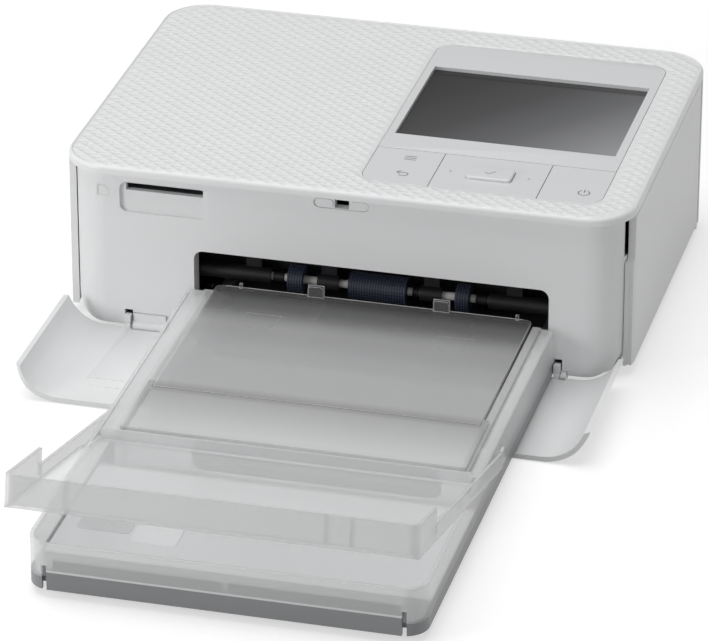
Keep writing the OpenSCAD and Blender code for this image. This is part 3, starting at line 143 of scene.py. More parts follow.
def larger(tree, add, one, other):
    return joined(tree, add, "MAXIMUM", one, other)


def toned(tree, add, colour, factor):
    """The colour made darker by a factor."""
    scale = add("ShaderNodeVectorMath", operation="SCALE")
    tree.links.new(colour, scale.inputs[0])
    tree.links.new(factor, scale.inputs["Scale"])
    return scale.outputs["Vector"]


def bumped(tree, shader, height, bump):
    """Lets a height tilt the shader's normal."""
    tree.links.new(height, bump.inputs["Height"])
    tree.links.new(bump.outputs["Normal"], shader.inputs["Normal"])


def grain(tree, add, shader, scale, depth):
    """Fine moulded grain: a noise that tilts the surface by a very small amount."""
    place = object_coords(add)
    noise = add("ShaderNodeTexNoise", Scale=scale, Detail=3.0, Roughness=0.6)
    tree.links.new(place, noise.inputs["Vector"])
    bumped(tree, shader, noise.outputs["Fac"], add("ShaderNodeBump", Strength=1.0, Distance=depth))
    return place


def clouded(tree, add, place, colour, spread, scale):
    """Slow, faint change of colour over the surface, as in any moulding."""
    noise = add("ShaderNodeTexNoise", Scale=scale, Detail=2.0)
    mix = add("ShaderNodeMix", data_type="RGBA")
    tree.links.new(place, noise.inputs["Vector"])
    tree.links.new(noise.outputs["Fac"], mix.inputs["Factor"])
    mix.inputs["A"].default_value = [c * (1 - spread) for c in colour] + [1]
    mix.inputs["B"].default_value = [min(1, c * (1 + spread)) for c in colour] + [1]
    return mix.outputs["Result"]


def vary(tree, add, shader, place, colour, spread, scale=40.0):
    cloud = clouded(tree, add, place, colour, spread, scale)
    tree.links.new(cloud, shader.inputs["Base Color"])


def rough_spots(tree, add, shader, place, low, high, scale):
    """Roughness that wanders between two values, from handling and moulding."""
    noise = add("ShaderNodeTexNoise", Scale=scale, Detail=4.0)
    tree.links.new(place, noise.inputs["Vector"])
    tree.links.new(ranged(tree, add, noise.outputs["Fac"], 0, 1, low, high),
                   shader.inputs["Roughness"])


def shaded_along_y(tree, add, y, stops):
    """Painted shade: a tone that changes with the distance from the front lip."""
    first, last = stops[0], stops[-1]
    reach = last[0] - first[0]
    ramp = add("ShaderNodeValToRGB")
    ramp.color_ramp.interpolation = "EASE"
    marks = ramp.color_ramp.elements
    marks[0].color = (first[1],) * 3 + (1,)
    marks[1].color = (last[1],) * 3 + (1,)
    for place, tone in stops[1:-1]:
        marks.new((place - first[0]) / reach).color = (tone, tone * 1.005, tone * 1.015, 1)
    tree.links.new(ranged(tree, add, y, from_lip(first[0]), from_lip(last[0]), 0, 1),
                   ramp.inputs["Fac"])
    return ramp.outputs["Color"]


# ---------- kinds of material ----------

PLASTIC_IOR = 1.49


def plastic(name, colour, rough, grain_scale=2600, grain_depth=0.00002, spread=0.012, coat=0.0):
    mat, tree, shader, add = nodes_of(name)
    place = grain(tree, add, shader, grain_scale, grain_depth)
    vary(tree, add, shader, place, colour, spread)
    rough_spots(tree, add, shader, place, rough - 0.04, rough + 0.04, 90)
    shader.inputs["IOR"].default_value = PLASTIC_IOR
    shader.inputs["Coat Weight"].default_value = coat
    shader.inputs["Coat Roughness"].default_value = 0.08
    return mat


def metal(name, colour, rough):
    """Metal with fine brush lines along X."""
    mat, tree, shader, add = nodes_of(name)
    squash = add("ShaderNodeMapping")
    squash.inputs["Scale"].default_value = (1, 60, 60)
    noise = add("ShaderNodeTexNoise", Scale=60.0, Detail=4.0)
    bump = add("ShaderNodeBump", Strength=0.4, Distance=0.00002)
    tree.links.new(object_coords(add), squash.inputs["Vector"])
    tree.links.new(squash.outputs["Vector"], noise.inputs["Vector"])
    bumped(tree, shader, noise.outputs["Fac"], bump)
    vary(tree, add, shader, squash.outputs["Vector"], colour, 0.06, 80)
    shader.inputs["Metallic"].default_value = 1.0
    shader.inputs["Roughness"].default_value = rough
    return mat


EDGE_SOFT = 0.45 * MM                 # radius over which frosted edges gather light
EDGE_MILK = 0.25                      # how much more an edge hides than a flat skin
LEVEL = (0.55, 0.75)                  # a face with more than this of its normal along Z is level
THICK_FLOOR = 0.94                    # opacity of a thick floor
THICK_SIDE = 0.78                     # opacity of the strips beyond over
SIDE_SHADE_TONE = 0.84                      # painted shade of those strips
SEAM_HEIGHTS = (19 * MM, 19.5 * MM)   # the seam's shade sets in between these heights
HIDDEN_SKIN = 0.15                    # share of its opacity that a skin below under keeps
SHADE_SHARE = 0.5                     # share of a frosted skin's opacity that counts in its shadow


def frosted(name, colour, clear, rough=0.3, coat=0.0, tones=None, wall=1.0, floor=None, seam=None,
            rim=0.95, over=None, under=None):
    """Milky moulded plastic: each skin lets the share clear of the view through, and its edges are
    painted in a tone of their own for the light they gather. Lengths are in mm, and y counts from
    the lip.
    tones: (y, tone) stops of painted shade along Y, in place of the colour.
    wall: painted shade: the tone of upright faces, which come out darker than level ones.
    floor: (height, back, front, tone). Upward faces below the height are thick, and are painted
    darker to the tone behind back, as painted shade where the bridge and the lid cover them, and in
    front of front.
    seam: (y, reach, tone). The highest faces are painted darker, as painted shade, to the tone over
    the reach in front of y.
    rim: the painted tone of the edges, a painted highlight where it is lighter than the body and a
    painted shade where it is darker.
    over: (x, x). Beyond them the upward faces are thicker, and painted darker as shade.
    under: a height below which the lower skin and its ribs nearly vanish."""
    mat, tree, shader, add = nodes_of(name)
    place = object_coords(add)
    x, y, z = split_up(tree, add, place)
    noise = add("ShaderNodeTexNoise", Scale=1500.0, Detail=3.0, Roughness=0.6)
    bump = add("ShaderNodeBump", Strength=1.0, Distance=0.0000007)
    soft = add("ShaderNodeBevel", samples=4, Radius=EDGE_SOFT)
    tree.links.new(place, noise.inputs["Vector"])
    tree.links.new(soft.outputs["Normal"], bump.inputs["Normal"])
    bumped(tree, shader, noise.outputs["Fac"], bump)

    # near an edge the softened normal leaves the face's own
    flat = add("ShaderNodeNewGeometry").outputs["True Normal"]
    agree = add("ShaderNodeVectorMath", operation="DOT_PRODUCT")
    tree.links.new(soft.outputs["Normal"], agree.inputs[0])
    tree.links.new(flat, agree.inputs[1])
    edge = ranged(tree, add, agree.outputs["Value"], 0.995, 0.80, 0, 1)
    if under:
        shown = ranged(tree, add, z, (under - 0.05) * MM, (under + 0.05) * MM, 0, 1)
        edge = product(tree, add, edge, shown)
    upward = ranged(tree, add, split_up(tree, add, flat)[2], *LEVEL, 0, 1)

    # colour
    # painted shade: the tone stops darken the colour along Y
    if tones:
        body = shaded_along_y(tree, add, y, tones)
    else:
        body = clouded(tree, add, place, colour, 0.02, 25)
    # painted shade: upright faces are made darker than level ones
    if wall != 1.0:
        body = toned(tree, add, body, ranged(tree, add, upward, 0, 1, wall, 1))
    # painted shade: low level faces are darkened behind back, where the bridge and the lid cover
    # them, and in front of front
    if floor:
        height, back, front, tone = floor
        low = ranged(tree, add, z, height * MM, (height - 0.5) * MM, 0, 1)
        milky = product(tree, add, low, upward)
        behind = ranged(tree, add, y, from_lip(back), from_lip(back + 3), 0, 1)
        ahead = ranged(tree, add, y, from_lip(front), from_lip(front - 0.6), 0, 1)
        floor_darkening = product(tree, add, milky, larger(tree, add, behind, ahead))
        body = toned(tree, add, body, ranged(tree, add, floor_darkening, 0, 1, 1, tone))
    # painted shade: the highest faces darken in front of the seam
    if seam:
        line, reach, tone = seam
        near = ranged(tree, add, y, from_lip(line - reach), from_lip(line), 0, 1)
        high = ranged(tree, add, z, *SEAM_HEIGHTS, 0, 1)
        shade = product(tree, add, near, high)
        body = toned(tree, add, body, ranged(tree, add, shade, 0, 1, 1, tone))
    # painted shade: the level strips beyond over are darkened
    if over:
        left = ranged(tree, add, x, over[0] * MM, (over[0] - 2) * MM, 0, THICK_SIDE)
        right = ranged(tree, add, x, over[1] * MM, (over[1] + 2) * MM, 0, THICK_SIDE)
        beyond = product(tree, add, larger(tree, add, left, right), upward)
        body = toned(tree, add, body, ranged(tree, add, beyond, 0, THICK_SIDE, 1, SIDE_SHADE_TONE))
    # painted highlight and shade: near an edge the colour turns to the rim's tone
    lit = add("ShaderNodeMix", data_type="RGBA")
    tree.links.new(edge, lit.inputs["Factor"])
    tree.links.new(body, lit.inputs["A"])
    lit.inputs["B"].default_value = (rim, rim * 1.005, rim * 1.01, 1)
    tree.links.new(lit.outputs["Result"], shader.inputs["Base Color"])

    # how much each skin hides
    skin = ranged(tree, add, edge, 0, 1, 1 - clear, min(1, 1 + EDGE_MILK - clear))
    if floor:
        skin = larger(tree, add, skin, ranged(tree, add, milky, 0, 1, 0, THICK_FLOOR))
    if over:
        skin = larger(tree, add, skin, beyond)
    if under:
        skin = product(tree, add, skin, ranged(tree, add, shown, 0, 1, HIDDEN_SKIN, 1))
    # milky plastic passes light on, so it shades less than it hides
    in_shadow = add("ShaderNodeLightPath").outputs["Is Shadow Ray"]
    skin = product(tree, add, skin, ranged(tree, add, in_shadow, 0, 1, 1, SHADE_SHARE))
    tree.links.new(skin, shader.inputs["Alpha"])
    shader.inputs["Roughness"].default_value = rough
    shader.inputs["IOR"].default_value = PLASTIC_IOR
    shader.inputs["Coat Weight"].default_value = coat
    shader.inputs["Coat Roughness"].default_value = 0.15
    return mat


# painted reflection: the display's colour grows lighter towards its near right corner
SCREEN_ACROSS = 0.62                  # share of that change that runs along X; the rest is along Y
SCREEN_REFLECTION_ENDS = ((0.025, 0.0255, 0.027, 1), (0.37, 0.373, 0.38, 1))
SCREEN_REFLECTION_TONES = ((0.2, 0.040), (0.42, 0.069), (0.65, 0.143), (0.86, 0.272))
SCREEN_BAND = (0.055, 0.085)          # share of the depth where the darker rear band ends
SCREEN_BAND_TONE = 0.45


def screen_glass():
    """Dark display under a flat window, with a painted reflection in its colour."""
    mat, tree, shader, add = nodes_of("screen_glass")
    x, y, _ = split_up(tree, add, object_coords(add))
    low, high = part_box("lcd_glass")
    across = ranged(tree, add, x, low.x, high.x, 0, 1)
    along = ranged(tree, add, y, high.y, low.y, 0, 1)
    rest = add("ShaderNodeMath", operation="MULTIPLY")
    rest.inputs[1].default_value = 1 - SCREEN_ACROSS
    tree.links.new(along, rest.inputs[0])
    both = add("ShaderNodeMath", operation="MULTIPLY_ADD")
    both.inputs[1].default_value = SCREEN_ACROSS
    tree.links.new(across, both.inputs[0])
    tree.links.new(rest.outputs[0], both.inputs[2])
    # painted reflection: the ramp lightens the colour towards the near right corner
    ramp = add("ShaderNodeValToRGB")
    marks = ramp.color_ramp.elements
    marks[0].color, marks[1].color = SCREEN_REFLECTION_ENDS
    for place, tone in SCREEN_REFLECTION_TONES:
        marks.new(place).color = (tone, tone * 1.01, tone * 1.05, 1)
    tree.links.new(both.outputs[0], ramp.inputs["Fac"])
    # a darker band lies under the rear edge of the window
    band = ranged(tree, add, along, *SCREEN_BAND, SCREEN_BAND_TONE, 1)
    tree.links.new(toned(tree, add, ramp.outputs["Color"], band), shader.inputs["Base Color"])
    shader.inputs["Roughness"].default_value = 0.12
    return mat


def ribbed_rubber():
    """Dark blue rubber with fine ribs along the roller, each with a painted highlight along its
    crest.
    """
    mat, tree, shader, add = nodes_of("roller_rubber")
    place = object_coords(add)
    ribs = add("ShaderNodeTexWave", wave_type="BANDS", bands_direction="X", Scale=360.0,
               Distortion=0.0)
    tree.links.new(place, ribs.inputs["Vector"])
    # painted highlight: the colour grows lighter on each rib's crest
    rib_highlight = add("ShaderNodeMix", data_type="RGBA")
    tree.links.new(ribs.outputs["Fac"], rib_highlight.inputs["Factor"])
    rib_highlight.inputs["A"].default_value = (0.006, 0.008, 0.016, 1)
    rib_highlight.inputs["B"].default_value = (0.045, 0.058, 0.10, 1)
    tree.links.new(rib_highlight.outputs["Result"], shader.inputs["Base Color"])
    bumped(tree, shader, ribs.outputs["Fac"], add("ShaderNodeBump", Strength=0.8, Distance=0.00008))
    rough_spots(tree, add, shader, place, 0.48, 0.62, 400)
    return mat


BAR_TOP = 9.0                         # height of the cassette's front bar
BAR_HIGHLIGHT = (0.75, 0.6)                # how far below that the painted highlight sets in
BAR_FRONT = (-165.0, -165.2)          # y from which a face belongs to the bar


def pan_material():
    """Grey moulding whose front bar has a painted highlight, a pale line along its upper edge."""
    mat = plastic("pan_grey", (0.25, 0.254, 0.262), 0.40, 2200, 0.00002, 0.02)
    tree = mat.node_tree
    add = adder(tree)
    shader = tree.nodes["Principled BSDF"]
    grey = shader.inputs["Base Color"].links[0].from_socket
    _, y, z = split_up(tree, add, object_coords(add))
    # painted highlight along the bar's upper edge
    high = ranged(tree, add, z, *[(BAR_TOP - drop) * MM for drop in BAR_HIGHLIGHT], 0, 1)
    ahead = ranged(tree, add, y, *[from_lip(place) for place in BAR_FRONT], 0, 1)
    mix = add("ShaderNodeMix", data_type="RGBA")
    tree.links.new(product(tree, add, high, ahead), mix.inputs["Factor"])
    tree.links.new(grey, mix.inputs["A"])
    mix.inputs["B"].default_value = (0.70, 0.705, 0.71, 1)
    tree.links.new(mix.outputs["Result"], shader.inputs["Base Color"])
    return mat


def ribbon_material():
    mat, tree, shader, add = nodes_of("ribbon_film")
    place = grain(tree, add, shader, 600, 0.00001)
    vary(tree, add, shader, place, (0.16, 0.07, 0.22), 0.1)
    shader.inputs["Roughness"].default_value = 0.15
    shader.inputs["Alpha"].default_value = 0.85
    return mat


# ---------- materials ----------

WHITE = (0.80, 0.805, 0.81)
# painted shade and a painted reflection of the dark slot: the lid's colour grows darker towards its
# rear edge, where the black works also show through it
LID_SHADE_TONES = ((-69.4, 0.52), (-64, 0.71), (-45, 0.70), (-25, 0.565), (-9, 0.28), (1.4, 0.14))
MATERIALS = {
    "shell": plastic("shell_white", WHITE, 0.42),
    "top": plastic("top_white", (0.82, 0.825, 0.83), 0.36, grain_depth=0.00001),
    "panel": plastic("panel_gloss", (0.76, 0.765, 0.775), 0.20, 900, 0.000004, 0.006, coat=0.3),
    "black": plastic("black_plastic", (0.012, 0.012, 0.014), 0.45),
    "foot": plastic("foot_rubber", (0.02, 0.02, 0.022), 0.75, 1200, 0.00006, 0.05),
    "gear": plastic("gear_natural", (0.72, 0.72, 0.68), 0.38),
    "board": plastic("board_green", (0.03, 0.14, 0.07), 0.35, 700, 0.00003, 0.12),
    "cartridge": plastic("cartridge_grey", (0.16, 0.17, 0.19), 0.45),
    "steel": metal("steel_brushed", (0.62, 0.63, 0.64), 0.32),
    "chassis": metal("steel_blackened", (0.035, 0.035, 0.038), 0.48),
    "shaft": plastic("shaft_pale", (0.60, 0.59, 0.56), 0.38, 1400, 0.00001, 0.03),
    "head": metal("head_aluminium", (0.66, 0.67, 0.68), 0.38),
    "brass": metal("pinion_brass", (0.72, 0.52, 0.20), 0.28),
    "frost": frosted("frost_tray", (0.84, 0.845, 0.85), 0.50, rim=0.80,
                     floor=(8, -99, -151.5, 0.20), seam=(-69.4, 24, 0.55)),
    "stacker": frosted("frost_stacker", (0.85, 0.855, 0.86), 0.60, rim=0.52, wall=0.78,
                       over=(-48.0, 66.0)),
    "lip": frosted("frost_lip", (0.78, 0.785, 0.79), 0.50),
    "tongue": plastic("tongue_grey", (0.12, 0.122, 0.126), 0.5),
    "pale_pad": plastic("pad_pale", (0.84, 0.845, 0.85), 0.5),
    "grey_pad": plastic("pad_grey", (0.68, 0.685, 0.69), 0.5),
    "lid": frosted("frost_lid", (0.66, 0.665, 0.675), 0.45, 0.26, 0.4, LID_SHADE_TONES, under=19.2),
    "lid_mark": frosted("frost_mark", (0.50, 0.51, 0.52), 0.70, 0.3),
    # painted highlight for the lid's rear edge
    "lid_edge_highlight": frosted("frost_edge_highlight", (0.90, 0.905, 0.91), 0.15, 0.3),
    "print": plastic("print_grey", (0.24, 0.243, 0.25), 0.45, spread=0.03),
    "screen": screen_glass(),
    "roller": ribbed_rubber(),
    "pan": pan_material(),
    "ribbon": ribbon_material(),
}

# ---------- CAD nodes ----------

WELD = 0.002 * MM                     # vertices nearer than this are one
SHARP = math.radians(32)              # edges sharper than this stay edges, and are rounded


def dress(name, look):
    """Gives a CAD node that stays as it is its material."""
    node = NODES[name]
    node.data.materials.clear()
    node.data.materials.append(MATERIALS[look])


def moulded(name, look, edge, segments=2, join=True):
    """A copy of a CAD node, shown in its place, with its edges rounded (mm). Its flat faces are
    joined, unless that shades them wrongly."""
    source = NODES[name]
    mesh = source.data.copy()
    piece = bpy.data.objects.new(name + "_moulded", mesh)
    bpy.context.scene.collection.objects.link(piece)
    bm = bmesh.new()
    bm.from_mesh(mesh)
    bmesh.ops.remove_doubles(bm, verts=bm.verts, dist=WELD)
    bmesh.ops.dissolve_degenerate(bm, edges=bm.edges, dist=WELD)
    if join:
        bmesh.ops.dissolve_limit(bm, angle_limit=math.radians(0.6), verts=bm.verts, edges=bm.edges)
    bm.to_mesh(mesh)
    bm.free()
    mesh.shade_smooth()
    mesh.set_sharp_from_angle(angle=SHARP)
    mesh.materials.clear()
    mesh.materials.append(MATERIALS[look])
    bevel = piece.modifiers.new("soft_edges", "BEVEL")
    bevel.width = edge * MM
    bevel.segments = segments
    bevel.limit_method = "ANGLE"
    bevel.angle_limit = SHARP
    bevel.use_clamp_overlap = True
    bevel.miter_outer = "MITER_ARC"
    bevel.harden_normals = True
    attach(piece, source["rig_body"])
    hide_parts(name)
    return piece


DRESSED = {
    "steel": ["card_socket", "usb_port", "frame_screws", "cover_pins", "ink_door_pins",
              "capstan_roller", "drive_motor", "head_arm"],
    "chassis": ["left_frame", "right_frame", "frame_tie"],
    "shaft": ["feed_shaft"],
    "black": ["feed_frame", "power_jack", "lcd_module", "pinch_roller", "platen_roller",
              "paper_lift"],
    "foot": ["rubber_feet"],
    "roller": ["pick_roller_left", "pick_roller_centre", "pick_roller_right"],
    "gear": ["feed_gear", "feed_idler_a", "feed_idler_b", "capstan_gear", "path_idler",
             "platen_gear", "drive_idler", "takeup_gear"],
    "board": ["key_board", "main_board"],
    "cartridge": ["ink_cartridge", "supply_spool", "takeup_spool"],
    "head": ["thermal_head"],
    "brass": ["motor_pinion"],
    "screen": ["lcd_glass"],
    "ribbon": ["ribbon_film"],
    "frost": ["cassette_tray"],
    "lid": ["inner_lid"],
    "stacker": ["print_stacker"],
}
for look, names in DRESSED.items():
    for name in names:
        dress(name, look)

moulded("base_pan", "shell", 0.2)
moulded("front_fascia", "shell", 0.3, 3)
moulded("cover_catch", "shell", 0.2)
moulded("left_side_panel", "shell", 0.3)
moulded("ink_door", "shell", 0.3, join=False)
moulded("rear_cover", "shell", 0.3)
moulded("front_cover", "shell", 0.35, 3)
moulded("control_panel", "panel", 0.15)
for key in ("menu_key", "arrow_key", "ok_key", "power_key"):
    moulded(key, "panel", 0.18)
moulded("cassette_pan", "pan", 0.25)
top = moulded("top_cover", "top", 0.2)


def new_piece(bm, name, look):
    """An object made from a bmesh, with its material, in the scene."""
    mesh = bpy.data.meshes.new(name)
    bm.to_mesh(mesh)
    bm.free()
    mesh.materials.append(MATERIALS[look])
    piece = bpy.data.objects.new(name, mesh)
    bpy.context.scene.collection.objects.link(piece)
    return piece


# ---------- faceted top ----------

CELL_W = 5.18 * MM                    # width of one diamond
CELL_D = 4.25 * MM                    # depth of one diamond
RIDGE = 0.36 * MM                     # height of the ridges between the diamonds
FIELD_LIFT = 0.02 * MM                # the diamonds' lowest points lie this far above the cover
FIELD_FADE = 0.8 * MM                 # distance from the field's edge over which ridges rise
FLAT_TOLERANCE = 0.02 * MM            # the cover's vertices this near its top belong to its flat
RIM_R = 1.3 * MM
CORNER_R = 15 * MM
PANEL_R = 6 * MM
PANEL_FLANGE = 2 * MM                 # how far the panel's hidden flange goes under the cover
PANEL_MARGIN = 0.45 * MM              # how far the field stays off the panel

# each: low corner, high corner, corner radius and inset of a rounded rectangle
FIELD_EDGE = (TOP_LOW.xy, TOP_HIGH.xy, CORNER_R, RIM_R)
FIELD_HOLE = (PANEL_LOW.xy + Vector((PANEL_FLANGE, PANEL_FLANGE)),
              PANEL_HIGH.xy - Vector((PANEL_FLANGE, PANEL_FLANGE)), PANEL_R, -PANEL_MARGIN)


def rounded_distance(p, shape):
    """Signed distance from p to a rounded rectangle, and the nearest point on it."""
    low, high, radius, inset = shape
    radius = radius - inset
    centre = (low + high) / 2
    half = (high - low) / 2 - Vector((inset + radius, inset + radius))
    q = p - centre
    core = Vector((max(-half.x, min(half.x, q.x)), max(-half.y, min(half.y, q.y))))
    off = q - core
    if off.length > 1e-9:
        return off.length - radius, centre + core + off.normalized() * radius
    dx, dy = half.x - abs(q.x), half.y - abs(q.y)
    if dx < dy:
        return -(dx + radius), centre + Vector((math.copysign(half.x + radius, q.x), q.y))
    return -(dy + radius), centre + Vector((q.x, math.copysign(half.y + radius, q.y)))


def settle(p):
    """A point, moved onto the field's edge if it lies off the field, and how far in it lies."""
    outside, edge = rounded_distance(p, FIELD_EDGE)
    if outside > 0:
        return edge, 0.0
    inside, rim = rounded_distance(p, FIELD_HOLE)
    if inside < 0:
        return rim, 0.0
    return p, min(-outside, inside)


def lattice(i, j):
    """The point i half widths and j half depths of a diamond from the middle of the lip."""
    return Vector((i * CELL_W / 2, LIP + j * CELL_D / 2))


def faceted_top():
    """Diamond dimples over the whole top, cut off at the rim's rounding and the panel's edge."""
    bm = bmesh.new()
    base = BODY_TOP - RIDGE + FIELD_LIFT
    made = {}

    def corner(i, j):
        if (i, j) not in made:
            spot, depth = settle(lattice(i, j))
            rise = RIDGE * min(1, depth / FIELD_FADE)
            made[i, j] = (bm.verts.new((spot.x, spot.y, base + rise)), depth)
        return made[i, j]

    columns = int(HALF_W / CELL_W) + 2
    rows = int((TOP_HIGH.y - TOP_LOW.y) / CELL_D) + 2
    cells = [(2 * a + half, 2 * b + half) for a in range(-columns, columns + 1)
             for b in range(-1, rows + 1) for half in (0, 1)]
    for i, j in cells:
        p = lattice(i, j)
        off_field = rounded_distance(p, FIELD_EDGE)[0] > CELL_W / 2
        if off_field or rounded_distance(p, FIELD_HOLE)[0] < -CELL_W / 2:
            continue
        ring = [corner(i + di, j + dj) for di, dj in ((1, 0), (0, 1), (-1, 0), (0, -1))]
        spot, depth = settle(p)
        if max([r[1] for r in ring] + [depth]) <= 0:
            continue
        low_point = bm.verts.new((spot.x, spot.y, base))
        for k in range(4):
            bm.faces.new((low_point, ring[k][0], ring[(k + 1) % 4][0]))
    bmesh.ops.remove_doubles(bm, verts=bm.verts, dist=0.01 * MM)
    bmesh.ops.dissolve_degenerate(bm, edges=bm.edges, dist=0.01 * MM)
    bmesh.ops.delete(bm, geom=[v for v in bm.verts if not v.link_faces], context="VERTS")
    piece = new_piece(bm, "faceted_top", "top")
    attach(piece, "body")


# the cover's own flat top goes down to make room for the diamonds
for vertex in top.data.vertices:
    if vertex.co.z > BODY_TOP - FLAT_TOLERANCE:
        vertex.co.z -= RIDGE
faceted_top()

# ---------- printed marks on the keys ----------

PRINT_LIFT = 0.02 * MM                # height of a printed mark above its key
PRINT_LINE = 0.40 * MM                # width of most printed lines
# x and y of each mark's middle, in mm
MENU_BARS = ((15.2, 29.2), (15.2, 30.4), (15.2, 31.6))
BACK_ARROW = (15.2, 18.6)
SIDE_ARROWS = ((-1, 29.5, 24.2), (1, 54.4, 24.2))
TICK = (42.1, 24.1)
POWER = (73.0, 18.9)


def stroke(bm, points, width, z):
    """A flat printed line of one width through points in the key's plane."""
    last = len(points) - 1
    sides = []
    for k, p in enumerate(points):
        run = (Vector(points[min(k + 1, last)]) - Vector(points[max(k - 1, 0)])).normalized()
        across = Vector((-run.y, run.x)) * width / 2
        sides.append((bm.verts.new((p[0] + across.x, p[1] + across.y, z)),
                      bm.verts.new((p[0] - across.x, p[1] - across.y, z))))
    for a, b in zip(sides, sides[1:]):
        bm.faces.new((a[0], a[1], b[1], b[0]))


def around(x, y, offsets):
    """Points given by their offsets in mm from a place on the keys."""
    middle = at(x, y, 0)
    return [(middle.x + dx * MM, middle.y + dy * MM) for dx, dy in offsets]


def arc(cx, cy, r, start, end, steps):
    """Points on an arc round an offset in mm, from one angle in degrees to another."""
    turn = [math.radians(start + (end - start) * k / steps) for k in range(steps + 1)]
    return [(cx + r * math.cos(t), cy + r * math.sin(t)) for t in turn]


def printed(name, body, z, draw):
    bm = bmesh.new()
    draw(bm, z)
    for face in bm.faces:
        if face.normal.z < 0:
            face.normal_flip()
    piece = new_piece(bm, name, "print")
    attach(piece, body)


def menu_marks(bm, z):
    """Three short bars, and an arrow that turns back."""
    for place in MENU_BARS:
        stroke(bm, around(*place, [(-1.9, 0), (1.9, 0)]), PRINT_LINE, z)
    bend = [(-1.6, 0.9), (0.9, 0.9)] + arc(0.9, -0.2, 1.1, 90, -90, 14) + [(-0.8, -1.3)]
    stroke(bm, around(*BACK_ARROW, bend), 0.38 * MM, z)
    stroke(bm, around(*BACK_ARROW, [(-0.5, 2.0), (-1.8, 0.9), (-0.5, -0.2)]), 0.38 * MM, z)


def arrow_marks(bm, z):
    """A small arrowhead on each side."""
    for side, x, y in SIDE_ARROWS:
        tip = [(-side * 0.35, 0.7), (side * 0.35, 0), (-side * 0.35, -0.7)]
        stroke(bm, around(x, y, tip), 0.22 * MM, z)


def tick_mark(bm, z):
    stroke(bm, around(*TICK, [(-1.5, 0.1), (-0.4, -1.0), (1.7, 1.2)]), 0.36 * MM, z)


def power_mark(bm, z):
    """An open ring with an upright stroke in its gap."""
    stroke(bm, around(*POWER, arc(0, 0, 1.75, 122, 418, 30)), PRINT_LINE, z)
    stroke(bm, around(*POWER, [(0, 0.2), (0, 2.3)]), PRINT_LINE, z)


key_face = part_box("menu_key")[1].z + PRINT_LIFT
printed("menu_print", "menu_key", key_face, menu_marks)
printed("arrow_print", "arrow_key", key_face, arrow_marks)
printed("tick_print", "ok_key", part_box("ok_key")[1].z + PRINT_LIFT, tick_mark)
printed("power_print", "power_key", key_face, power_mark)

# ---------- small relief ----------


def relief(name, body, look, shape):
    """A thin raised moulding built by shape(bm)."""
    bm = bmesh.new()
    shape(bm)
    bmesh.ops.recalc_face_normals(bm, faces=bm.faces)
    piece = new_piece(bm, name, look)
    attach(piece, body)


def ring_faces(bm, one, other):
    """Joins two rings of vertices with a band of faces."""
    for k in range(len(one)):
        j = (k + 1) % len(one)
        bm.faces.new((one[k], one[j], other[j], other[k]))


def bar(bm, a, b, across, thick):
    """A straight bar from a to b with a rectangular section given by two vectors."""
    first, last = [[bm.verts.new(p + across * i + thick * j)
                    for i, j in ((-1, 0), (1, 0), (1, 1), (-1, 1))] for p in (a, b)]
    ring_faces(bm, first, last)
    bm.faces.new(first)
    bm.faces.new(last[::-1])


def path_of_bars(bm, points, width, height, up):
    """Bars from point to point that overlap a little at the corners."""
    for a, b in zip(points, points[1:]):
        run = (b - a).normalized()
        lap = run * width * 0.2
        bar(bm, a - lap, b + lap, run.cross(up) * width / 2, up * height)


TAB_X = (-7.7 * MM, 32.5 * MM)        # middles of the lid's two tabs
TAB_HALF = 2.5 * MM
TAB_RISE = 3.6 * MM
LID_TOP = LID_HIGH.z - TAB_RISE
LID_PIN = 1.5 * MM                    # how far each hinge pin stands out of the lid
LID_CORNER = 3 * MM
# x, y, half width and depth of each thumb mark, in mm
HALF_MOONS = ((-20.0, -15.2, 5.6, 11.0), (41.3, -16.0, 5.6, 10.5))


def half_moons(bm):
    """Two faint thumb marks on the lid, near its rear edge."""
    for x, y, a, b in HALF_MOONS:
        mark = [at(x + a * math.cos(t), y + b * math.sin(t), 0) + UP * LID_TOP
                for t in [math.radians(180 + 180 * k / 18) for k in range(19)]]
        path_of_bars(bm, mark + [mark[0]], 0.3 * MM, 0.06 * MM, UP)


relief("lid_marks", "inner_lid", "lid_mark", half_moons)


def bright_edge(bm):
    """A painted highlight: a thin pale strip for the light that the lid's rear edge and its two
    tabs gather.
    """
    y = LID_HIGH.y - 0.05 * MM
    points = [(LID_LOW.x + LID_PIN + LID_CORNER, LID_TOP)]
    for x in TAB_X:
        points += [(x - TAB_HALF, LID_TOP), (x - TAB_HALF, LID_TOP + TAB_RISE),
                   (x + TAB_HALF, LID_TOP + TAB_RISE), (x + TAB_HALF, LID_TOP)]
    points += [(LID_HIGH.x - LID_PIN - LID_CORNER, LID_TOP)]
    line = [Vector((x, y, z)) for x, z in points]
    path_of_bars(bm, line, 0.22 * MM, 0.05 * MM, Vector((0, -1, 0)))


relief("lid_edge_highlight", "inner_lid", "lid_edge_highlight", bright_edge)

SHAFT_Y = (SHAFT_LOW.y + SHAFT_HIGH.y) / 2
SHAFT_Z = (SHAFT_LOW.z + SHAFT_HIGH.z) / 2
SLEEVES = ((-24.2, -20.7), (20.8, 22.8), (41.1, 44.8))   # ends along X
BORE_R, END_R, SLEEVE_R = 1.34, 1.45, 1.6
CHAMFER = 0.2
ROUND_STEPS = 32


